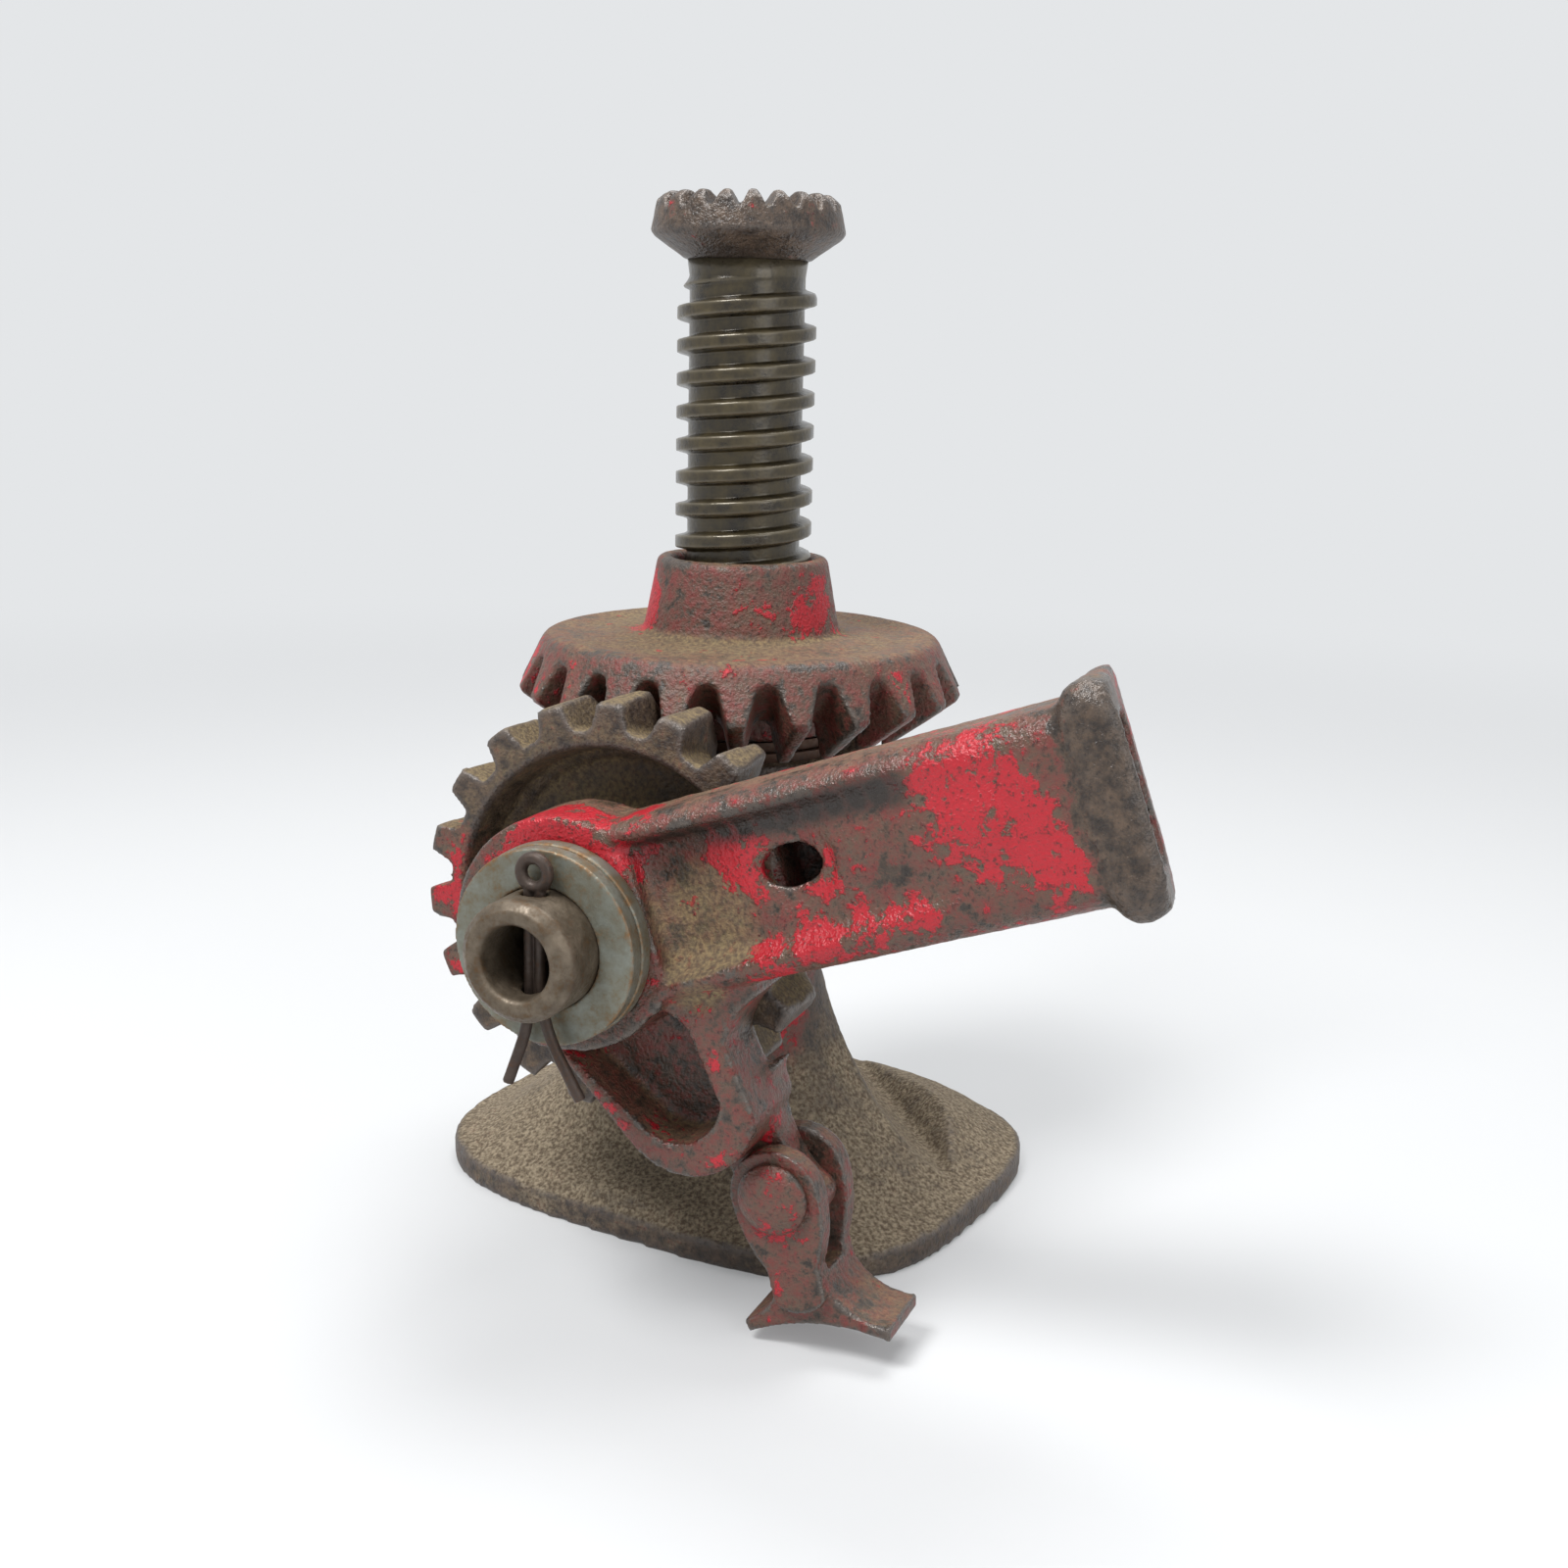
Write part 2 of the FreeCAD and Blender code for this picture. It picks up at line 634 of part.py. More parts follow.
def lever_casting():
    """Ratchet lever: hub, box arm with a rolled mouth, open cup and the pawl lug."""
    body = new_body("lever_casting", PINION_FRAME)
    hub = new_sketch(body, "lever_hub", lift="lever_back")
    circle(hub, "lever_hub_radius")
    pad(body, hub, "lever_front - lever_back")

    arm = arm_section(body, "arm_section", "8", "0")
    pad(body, arm, "arm_end - 8")

    cup = new_sketch(body, "cup_outline", lift="cup_rear")
    outline(cup, [
        ("-28.5", "-8"),
        ("cup_end_x - 0.65 * cup_end_radius", "cup_end_y - 0.76 * cup_end_radius", "cup_end_radius"),
        ("cup_end_x + cup_end_radius", "cup_end_y"),
        ("cup_end_x + 11", "cup_end_y + 17", "-22"),
        ("cup_end_x + 20", "cup_end_y + 31"),
        ("30", "8"),
    ])
    pad(body, cup, "cup_face - cup_rear")

    lug = new_sketch(body, "lug_outline", lift="lug_rear")
    outline(lug, [
        ("pawl_x + lug_radius", "pawl_y", "-30"),
        ("cup_end_x + cup_end_radius - 1", "cup_end_y + 8"),
        ("cup_end_x", "cup_end_y"),
        ("cup_end_x + 2", "cup_end_y - cup_end_radius + 3"),
        ("pawl_x - 0.72 * lug_radius", "pawl_y - 0.694 * lug_radius", "lug_radius"),
    ])
    pad(body, lug, "lug_face - lug_rear")

    bead = body.newObject("PartDesign::AdditiveLoft", "mouth_bead")
    lips = []
    for number, (along, proud) in enumerate(MOUTH_LIP):
        place = f"bead_start + ( bead_end - bead_start ) * {along}"
        lips.append(arm_section(body, f"lip_{number}", place, f"bead_proud * {proud}"))
    bead.Profile = lips[0]
    bead.Sections = lips[1:]
    bead.Ruled = True

    slant = new_sketch(body, "mouth_slant_cut", "XZ_Plane", "0 - arm_top - bead_proud - 4")
    outline(slant, [
        ("bead_end + 1", "arm_face - 1"),
        ("bead_end - 1", "arm_face - 1"),
        ("bead_end - mouth_slant - 1.5", "arm_rear - 6"),
        ("bead_end + 1", "arm_rear - 6"),
    ])
    tilt_sketch(slant)
    pocket(body, slant, "arm_top - arm_bottom + bead_proud * 2 + 8", True)

    room = new_sketch(body, "gear_room", lift="lever_back")
    circle(room, "gear_room_radius")
    pocket(body, room, "lever_back - cup_rear + 4")

    seat = new_sketch(body, "washer_seat", lift="lever_front")
    circle(seat, "lever_hub_radius + 1.5")
    pocket(body, seat, "10", True)

    recess = body.newObject("PartDesign::SubtractiveLoft", "front_recess")
    recess.Profile = recess_section(body, "recess_start", "recess_floor")
    recess.Sections = [recess_section(body, "recess_end", "arm_face - 0.3")]
    recess.Ruled = True

    socket = new_sketch(body, "socket_section", "YZ_Plane", "socket_depth_place")
    outline(socket, [
        ("-1 * socket_height / 2 + 4", "socket_rear"),
        ("socket_height / 2 - 4", "socket_rear", "4"),
        ("socket_height / 2", "socket_rear + 4"),
        ("socket_height / 2", "socket_front - 4", "4"),
        ("socket_height / 2 - 4", "socket_front"),
        ("-1 * socket_height / 2 + 4", "socket_front", "4"),
        ("-1 * socket_height / 2", "socket_front - 4"),
        ("-1 * socket_height / 2", "socket_rear + 4", "4"),
    ])
    tilt_sketch(socket)
    pocket(body, socket, "bead_end - socket_depth_place + 5", True)

    hole = new_sketch(body, "sight_hole", lift="socket_front - 1", turn="arm_angle")
    circle(hole, "sight_hole_radius", "sight_hole_place", "sight_hole_rise")
    pocket(body, hole, "arm_face - socket_front + 3", True)

    cavity = new_sketch(body, "cup_cavity", lift="cup_floor")
    inner = "( cup_end_radius - cup_wall )"
    outline(cavity, [
        ("-6", "-28.4"),
        (f"cup_end_x - 0.65 * {inner}", f"cup_end_y - 0.76 * {inner}", inner),
        (f"cup_end_x + {inner} - 3.2", "cup_end_y + 1"),
        ("cup_end_x + 0.5", "cup_end_y + 20"),
        ("24.4", "-15.8", "-29"),
    ])
    pocket(body, cavity, "cup_face - cup_floor + 10", True)

    bore = new_sketch(body, "lever_bore", lift="lever_back - 1")
    circle(bore, "spindle_radius + running_gap + bush_wall")
    pocket(body, bore, "lever_front - lever_back + 2", True)

    pin_hole = new_sketch(body, "lug_hole", lift="lug_rear - 1")
    circle(pin_hole, "pawl_pin_radius + running_gap", "pawl_x", "pawl_y")
    pocket(body, pin_hole, "lug_face - lug_rear + 2", True)


def tilt_sketch(sketch):
    """Turn an upright sketch about the spindle to the angle of the arm."""
    offset = sketch.AttachmentOffset.Base.z
    turn = FreeCAD.Placement(
        FreeCAD.Vector(0, 0, 0), FreeCAD.Rotation(FreeCAD.Vector(0, 1, 0), size("arm_angle")),
    )
    lift = FreeCAD.Placement(FreeCAD.Vector(0, 0, offset), FreeCAD.Rotation())
    sketch.setExpression(".AttachmentOffset.Base.z", None)
    sketch.AttachmentOffset = turn.multiply(lift)


def recess_section(body, place, floor):
    """One section of the arm's front recess: a round-cornered trough with sloping walls."""
    sketch = new_sketch(body, place + "_section", "YZ_Plane", place)
    outline(sketch, [
        ("-1 * recess_half - 1", "arm_face + 1"),
        ("-1 * recess_half + 2", f"{floor} + 2"),
        ("-1 * recess_half + 5", floor),
        ("recess_half - 5", floor),
        ("recess_half - 2", f"{floor} + 2"),
        ("recess_half + 1", "arm_face + 1"),
    ])
    tilt_sketch(sketch)
    return sketch


def arm_section(body, name, place, proud):
    """The arm's round-cornered section, square to its length, grown by a margin."""
    sketch = new_sketch(body, name, "YZ_Plane", place)
    rounded(
        sketch,
        f"arm_bottom - {proud}",
        f"arm_rear - {proud} / 2",
        f"arm_top + {proud}",
        f"arm_face + {proud} / 2",
        f"arm_edge_radius + {proud}",
    )
    tilt_sketch(sketch)
    return sketch


def ratchet_pawl():
    """Forked pawl with a fishtail foot, hung on the lug of the lever."""
    tilt = FreeCAD.Rotation(FreeCAD.Vector(0, 0, 1), size("pawl_tilt"))
    hang = FreeCAD.Placement(FreeCAD.Vector(size("pawl_x"), size("pawl_y"), 0), tilt)
    frame = PINION_FRAME.multiply(hang)
    body = new_body("ratchet_pawl", frame)
    sketch = new_sketch(body, "pawl_outline", lift="pawl_rear")
    outline(sketch, [
        ("pawl_eye_radius", "0", "pawl_eye_radius"),
        ("0", "pawl_eye_radius", "pawl_eye_radius"),
        ("-1 * pawl_eye_radius", "0", "40"),
        ("-1 * pawl_neck_half", "3 - pawl_slot_depth"),
        ("-1 * pawl_neck_half", "0 - pawl_slot_depth - 3", "-14"),
        ("-1 * pawl_foot_half", "3.4 - pawl_reach + pawl_foot_skew"),
        ("0.8 - pawl_foot_half", "pawl_foot_skew - pawl_reach", "-56"),
        ("pawl_foot_half + pawl_toe_extra - 0.8", "0 - pawl_reach - pawl_foot_skew"),
        ("pawl_foot_half + pawl_toe_extra", "3.4 - pawl_reach - pawl_foot_skew", "-18"),
        ("pawl_neck_half", "0 - pawl_slot_depth - 3"),
        ("pawl_neck_half", "3 - pawl_slot_depth", "40"),
    ])
    pad(body, sketch, "pawl_face - pawl_rear - pawl_cheek_step")
    cheek = new_sketch(body, "pawl_cheek", lift="pawl_rear")
    outline(cheek, [
        ("pawl_eye_radius", "0", "pawl_eye_radius"),
        ("0", "pawl_eye_radius", "pawl_eye_radius"),
        ("-1 * pawl_eye_radius", "0", "40"),
        ("-1 * pawl_neck_half", "3 - pawl_slot_depth"),
        ("-1 * pawl_neck_half", "0 - pawl_cheek_end", "9.5"),
        ("pawl_neck_half", "0 - pawl_cheek_end"),
        ("pawl_neck_half", "3 - pawl_slot_depth", "40"),
    ])
    pad(body, cheek, "pawl_face - pawl_rear")
    slot = new_sketch(body, "fork_slot", "XZ_Plane", "pawl_slot_depth")
    outline(slot, [
        ("-1 * pawl_eye_radius - 2", "lug_rear - pawl_side_gap"),
        ("pawl_eye_radius + 2", "lug_rear - pawl_side_gap"),
        ("pawl_eye_radius + 2", "lug_face + pawl_side_gap"),
        ("-1 * pawl_eye_radius - 2", "lug_face + pawl_side_gap"),
    ])
    pocket(body, slot, "pawl_slot_depth + pawl_eye_radius + 4")
    hole = new_sketch(body, "pawl_hole", lift="pawl_rear - 1")
    circle(hole, "pawl_pin_radius")
    pocket(body, hole, "pawl_face - pawl_rear + 2", True)

    pin = new_body("pawl_pin", frame)
    turned(pin, [
        ("0", "pawl_rear - 3.4"),
        ("pawl_pin_radius", "pawl_rear - 3.4"),
        ("pawl_pin_radius", "pawl_face"),
        ("pawl_head_radius", "pawl_face"),
        ("pawl_head_radius", "pawl_face + 1.6", "10"),
        ("pawl_head_radius - 5", "pawl_face + pawl_head"),
        ("0", "pawl_face + pawl_head"),
    ])
    tail = new_body("pawl_pin_washer", frame)
    face = new_sketch(tail, "pawl_washer_face", lift="pawl_rear - 2.2")
    ring(face, "pawl_pin_radius + 3.4", "pawl_pin_radius")
    pad(tail, face, "2.2")


def oval_wire(width, depth, squareness, height, shift, setback=0):
    """A level superellipse as one closed spline."""
    points = []
    for step in range(24):
        angle = math.radians(step * 15 + 1e-7)
        along = math.copysign(abs(math.cos(angle)) ** (2 / squareness), math.cos(angle))
        across = math.copysign(abs(math.sin(angle)) ** (2 / squareness), math.sin(angle))
        points.append(FreeCAD.Vector(along * width / 2, shift + across * depth / 2, height))
    curve = Part.BSplineCurve()
    curve.interpolate(Points=points, PeriodicFlag=True)
    wire = Part.Wire(curve.toShape())
    wire.translate(FreeCAD.Vector(setback, 0, 0))
    wire.rotate(FreeCAD.Vector(0, 0, 0), FreeCAD.Vector(0, 0, 1), size("base_turn"))
    return wire


def flare(inset):
    """The loft of the stand from its base edge to the column head, drawn in by a wall."""
    width = size("base_width") - 2 * inset
    depth = size("base_depth") - 2 * inset
    edge = size("base_edge")
    shift = size("base_shift")
    setback = size("base_setback")
    square = size("base_squareness")
    waist = size("waist_radius")
    waist_height = size("waist_height")
    levels = [
        (width * 0.965, depth * 0.96, square, edge, shift, setback),
        (width * 0.78, depth * 0.76, square - 0.3, edge + 9, shift * 0.85, setback * 0.8),
        (width * 0.57, depth * 0.59, square - 0.7, edge + 22, shift * 0.4, setback * 0.3),
    ]
    if inset:
        levels.append((1.8 * waist, 1.8 * waist, 2, edge + 40 - inset, 0))
    else:
        head = size("head_radius")
        top = size(COLUMN_TOP)
        levels.append((2.65 * waist, 2.7 * waist, 2.1, edge + 40, shift * 0.1))
        levels.append((2.12 * waist, 2.12 * waist, 2, waist_height - 12, 0))
        levels.append((2.0 * waist, 2.0 * waist, 2, waist_height, 0))
        levels.append((2.3 * waist, 2.3 * waist, 2, waist_height + 24, 0))
        levels.append((2 * head - 6, 2 * head - 6, 2, top - 12, 0))
        levels.append((2 * head, 2 * head, 2, top - 3, 0))
        levels.append((2 * head, 2 * head, 2, top, 0))
    wires = [oval_wire(*level) for level in levels]
    return Part.makeLoft(wires, True, False)


def crease_cutter():
    """The valley between the flare and the rear lobe of the base, a long trough."""
    low = size("crease_height")
    far = size("crease_distance")
    side = [
        (far - 30, 60),
        (far - 22, 36),
        (far - 9, 17),
        (far, low),
        (far + 4, low + 5),
        (far + 18, low + 16),
        (far + 30, 60),
    ]
    points = [FreeCAD.Vector(x, 0, z) for x, z in side]
    curve = Part.BSplineCurve()
    curve.interpolate(points[:4])
    edges = [curve.toShape()]
    for first, second in zip(points[3:], points[4:] + points[:1]):
        edges.append(Part.LineSegment(first, second).toShape())
    face = Part.Face(Part.Wire(edges))
    run = size("base_width") * 1.5
    trough = face.extrude(FreeCAD.Vector(0, run, 0))
    trough.translate(FreeCAD.Vector(0, -run / 2, 0))
    trough.rotate(FreeCAD.Vector(0, 0, 0), FreeCAD.Vector(0, 0, 1), size("crease_angle"))
    return trough


def window_cutter():
    """Arched window in the front wall of the column, below the spindle boss."""
    half = size("window_half")
    low = size("window_low")
    high = size("axis_height - boss_radius - window_boss_gap")
    turn = half * 0.98
    left = FreeCAD.Vector(-half, 0, low + turn)
    right = FreeCAD.Vector(half, 0, low + turn)
    bottom = FreeCAD.Vector(0, 0, low)
    upper_right = FreeCAD.Vector(half * 0.8, 0, high)
    upper_left = FreeCAD.Vector(-half * 0.8, 0, high)
    edges = [
        Part.Arc(left, bottom, right).toShape(),
        Part.LineSegment(right, upper_right).toShape(),
        Part.LineSegment(upper_right, upper_left).toShape(),
        Part.LineSegment(upper_left, left).toShape(),
    ]
    return Part.Face(Part.Wire(edges)).extrude(FreeCAD.Vector(0, -size("base_depth") / 2, 0))


def base_casting():
    """Hollow stand: flared base, waisted column, thrust head and spindle boss."""
    edge = size("base_edge")
    shift = size("base_shift")
    setback = size("base_setback")
    square = size("base_squareness")
    plan = oval_wire(size("base_width"), size("base_depth"), square, 0, shift, setback)
    plate = Part.Face(plan).extrude(FreeCAD.Vector(0, 0, edge))
    boss = Part.makeCylinder(
        size("boss_radius"), size("boss_end"),
        FreeCAD.Vector(0, 0, size("axis_height")), FreeCAD.Vector(0, -1, 0),
    )
    outside = plate.fuse([flare(0), boss])
    outside = outside.cut(crease_cutter())

    wall = size("shell_wall")
    hollow_plan = oval_wire(
        size("base_width") - 2 * wall, size("base_depth") - 2 * wall, square, -1, shift, setback,
    )
    hollow = Part.Face(hollow_plan).extrude(FreeCAD.Vector(0, 0, edge - 3))
    inside = flare(wall * 1.6)
    inside.translate(FreeCAD.Vector(0, 0, -4.5))
    lowered = crease_cutter()
    lowered.translate(FreeCAD.Vector(0, 0, -wall))
    inside = inside.cut(lowered)
    bore = Part.makeCylinder(size("bore_radius"), size(COLUMN_TOP) + 10, FreeCAD.Vector(0, 0, -5))
    spindle_hole = Part.makeCylinder(
        size("spindle_radius"), size("boss_end") + 10,
        FreeCAD.Vector(0, 0, size("axis_height")), FreeCAD.Vector(0, -1, 0),
    )
    pin_hole = Part.makeCylinder(
        size("lock_pin_radius"), size("boss_radius") * 2 + 4,
        FreeCAD.Vector(0, -size("lock_pin_place"), size("axis_height - boss_radius") - 2),
    )
    shape = outside.cut([hollow, inside, bore, window_cutter(), spindle_hole, pin_hole])
    feature = document.addObject("Part::Feature", "base_casting_shape")
    feature.Shape = shape.removeSplitter()
    keep(feature, "base_casting")


def check_and_write():
    document.recompute()
    for item in document.Objects:
        if "Invalid" in item.State or "Error" in item.State:
            raise RuntimeError(f"{item.Label} failed: {item.State}")
    for item in sub_parts:
        shape = item.Shape
        if shape.isNull() or not shape.isValid():
            raise RuntimeError(f"{item.Label} has no valid shape")
        if len(shape.Solids) != 1:
            raise RuntimeError(f"{item.Label} has {len(shape.Solids)} solids")
    os.makedirs("parts", exist_ok=True)
    for item in sub_parts:
        item.Shape.exportStep(f"parts/{item.Label}.step")
        print(f"{item.Label}: {item.Shape.Volume / 1000:.1f} cm3")


lift_screw()
stop_collar()
toothed_cap()
crown_gear()
washer("column_thrust_washer", "thrust_washer", "thrust_washer_radius", "thrust_bore_radius",
       COLUMN_TOP, False)
washer("crown_thrust_washer", "thrust_washer", "thrust_washer_radius - 2", "thrust_bore_radius",
       NUT_BOTTOM + " - thrust_washer", False)
pinion_gear()
bush("pinion_bush", "pinion_back + 0.1", "pinion_hub_front - 0.1")
pinion_spindle()
lock_pin()
washer("pinion_thrust_washer", "inner_washer", "inner_washer_radius", "spindle_radius + running_gap",
       "boss_end", True)
washer("inner_spindle_washer", "outer_washer", "outer_washer_radius", "spindle_radius + running_gap",
       "lever_front + end_float", True)
washer("outer_spindle_washer", "outer_washer", "outer_washer_radius - 0.3", "spindle_radius + running_gap",
       "lever_front + end_float + outer_washer", True)
cotter_pin()
lever_casting()
bush("lever_bush", "lever_back + 0.1", "lever_front - 0.1")
ratchet_pawl()
base_casting()
check_and_write()
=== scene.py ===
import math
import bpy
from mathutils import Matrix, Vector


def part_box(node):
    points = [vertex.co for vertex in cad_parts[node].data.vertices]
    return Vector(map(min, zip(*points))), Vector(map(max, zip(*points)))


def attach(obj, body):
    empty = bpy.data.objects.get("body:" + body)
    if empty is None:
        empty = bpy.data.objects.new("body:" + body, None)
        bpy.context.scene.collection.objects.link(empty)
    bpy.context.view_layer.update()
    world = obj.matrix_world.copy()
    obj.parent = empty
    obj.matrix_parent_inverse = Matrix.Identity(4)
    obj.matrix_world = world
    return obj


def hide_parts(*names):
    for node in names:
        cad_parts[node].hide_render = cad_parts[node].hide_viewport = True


bl_info = {
    "name": "Railway Track Jack",
    "version": (1, 0, 0),
    "blender": (4, 5, 0),
    "location": "3D View > Sidebar > Track Jack",
    "description": "Gives a bevel-geared track jack its cast, painted and greased surfaces",
    "category": "Object",
}

import bmesh
import bpy
from bpy.props import FloatProperty, FloatVectorProperty, IntProperty, PointerProperty
from mathutils import Matrix, Vector

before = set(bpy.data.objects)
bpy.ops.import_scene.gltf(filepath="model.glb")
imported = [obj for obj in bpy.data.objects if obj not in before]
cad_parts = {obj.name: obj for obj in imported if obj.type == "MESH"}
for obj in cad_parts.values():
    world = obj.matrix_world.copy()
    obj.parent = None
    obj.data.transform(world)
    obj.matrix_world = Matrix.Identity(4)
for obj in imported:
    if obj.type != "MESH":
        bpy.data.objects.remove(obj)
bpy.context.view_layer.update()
MM = 0.001

# The lifting screw as the frame has it: its lowest and highest corner
SCREW_LOW, SCREW_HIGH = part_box("lift_screw")
CAP_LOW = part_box("toothed_cap")[0]

# The lever's axis and the lean of its arm
HUB_LOW, HUB_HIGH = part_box("lever_bush")
HUB = (HUB_LOW + HUB_HIGH) / 2
ARM_LEAN = math.radians(20)
ARM_FACE = 105 * MM

# Middle of the sight hole, along and across the arm in millimetres
SIGHT_HOLE = (63.6, 3.8)

# The photograph's camera in the object's frame
CAMERA_PLACE = (0.21556, -0.47812, 0.24624)
CAMERA_HEADING = math.radians(22.84)
CAMERA_PITCH = math.radians(13.37)
CAMERA_ROLL = math.radians(1.34)
CAMERA_LENS = 42.73


def linear(hex_colour):
    """Linear RGB of an sRGB colour written #RRGGBB."""
    parts = [int(hex_colour[place:place + 2], 16) / 255 for place in (1, 3, 5)]
    return [part / 12.92 if part <= 0.04045 else ((part + 0.055) / 1.055) ** 2.4 for part in parts]


def colour_property(name, description, hex_colour):
    return FloatVectorProperty(
        name=name, description=description, subtype="COLOR", size=3, min=0, max=1,
        default=linear(hex_colour),
    )


class JackSizes(bpy.types.PropertyGroup):
    thread_pitch: FloatProperty(
        name="Thread pitch", description="Rise of the lifting screw in one turn",
        default=8.85 * MM, min=4 * MM, max=16 * MM, unit="LENGTH", precision=5,
    )
    thread_depth: FloatProperty(
        name="Thread depth", description="Depth of the square thread from crest to root",
        default=3.3 * MM, min=1 * MM, max=5 * MM, unit="LENGTH", precision=5,
    )
    thread_start: FloatProperty(
        name="Thread start", description="Angle at which a crest crosses the foot of the screw",
        default=math.radians(0), subtype="ANGLE",
    )
    skin_grain: FloatProperty(
        name="Casting grid", description="Edge length of the faces on the cast pieces",
        default=0.9 * MM, min=0.5 * MM, max=3 * MM, unit="LENGTH", precision=5,
    )
    edge_softening: IntProperty(
        name="Edge softening", description="Smoothing passes that round the worn edges",
        default=4, min=0, max=20,
    )
    skin_relief: FloatProperty(
        name="Casting relief", description="Height of the sand-cast unevenness",
        default=0.22 * MM, min=0, max=1 * MM, unit="LENGTH", precision=5,
    )
    grit_size: FloatProperty(
        name="Grit size", description="Size of the sand grain pressed into the cast skin",
        default=1.1 * MM, min=0.3 * MM, max=4 * MM, unit="LENGTH", precision=5,
    )


class JackColours(bpy.types.PropertyGroup):
    red_paint: colour_property("Red paint", "Oil enamel where it still shines", "#B01E2A")
    faded_paint: colour_property("Faded paint", "Enamel gone thin, brown and dull", "#70342F")
    bare_iron: colour_property("Bare iron", "Grey iron rubbed bright on the edges", "#6E6762")
    brown_iron: colour_property("Brown iron", "Iron with old brown rust", "#5C4B3D")
    # Also the colour of the painted shade spots that worn_casting lays where shade falls
    dark_iron: colour_property("Dark iron", "Iron black with old grease", "#2A221D")
    dust: colour_property("Dust", "Ochre dust caked on grease", "#8C7A58")
    dark_dust: colour_property("Dark dust", "Dust soaked with oil", "#5F5140")
    rust: colour_property("Rust", "Fresh orange rust", "#7E5A34")
    zinc: colour_property("Zinc", "Dull zinc plating", "#7D8077")
    floor: colour_property("Floor", "Plain pale floor", "#DADBDC")


def add(tree, kind, settings=None, links=None):
    """Add a shader node; settings are socket values or attributes, links are sockets fed from others."""
    node = tree.nodes.new(kind)
    for name, value in (settings or {}).items():
        if isinstance(name, str) and hasattr(node, name):
            setattr(node, name, value)
        else:
            node.inputs[name].default_value = value
    for name, source in (links or {}).items():
        tree.links.new(source, node.inputs[name])
    return node


def new_material(name):
    """An empty node material with its output, and its surface shader."""
    material = bpy.data.materials.new(name)
    material.use_nodes = True
    tree = material.node_tree
    tree.nodes.clear()
    shader = add(tree, "ShaderNodeBsdfPrincipled")
    add(tree, "ShaderNodeOutputMaterial", links={"Surface": shader.outputs["BSDF"]})
    return material, tree, shader


def spots_field(tree, place, spots):
    """Sum of soft balls, each (x, y, z, radius, weight) in millimetres, as one socket."""
    total = None
    for x, y, z, radius, weight in spots:
        distance = add(
            tree, "ShaderNodeVectorMath",
            {"operation": "DISTANCE", 1: (x * MM, y * MM, z * MM)}, {0: place},
        )
        ball = add(
            tree, "ShaderNodeMapRange",
            {"interpolation_type": "SMOOTHSTEP", "From Min": radius * MM, "From Max": radius * 0.35 * MM,
             "To Min": 0.0, "To Max": weight},
            {"Value": distance.outputs["Value"]},
        )
        if total is None:
            total = ball.outputs["Result"]
            continue
        joined = add(tree, "ShaderNodeMath", {"operation": "ADD"}, {0: total, 1: ball.outputs["Result"]})
        total = joined.outputs["Value"]
    return total


# Worn patches of paint, and the chips and flecks along their borders
PATCH_SIZE = 15 * MM
FLECK_SIZE = 3.4 * MM


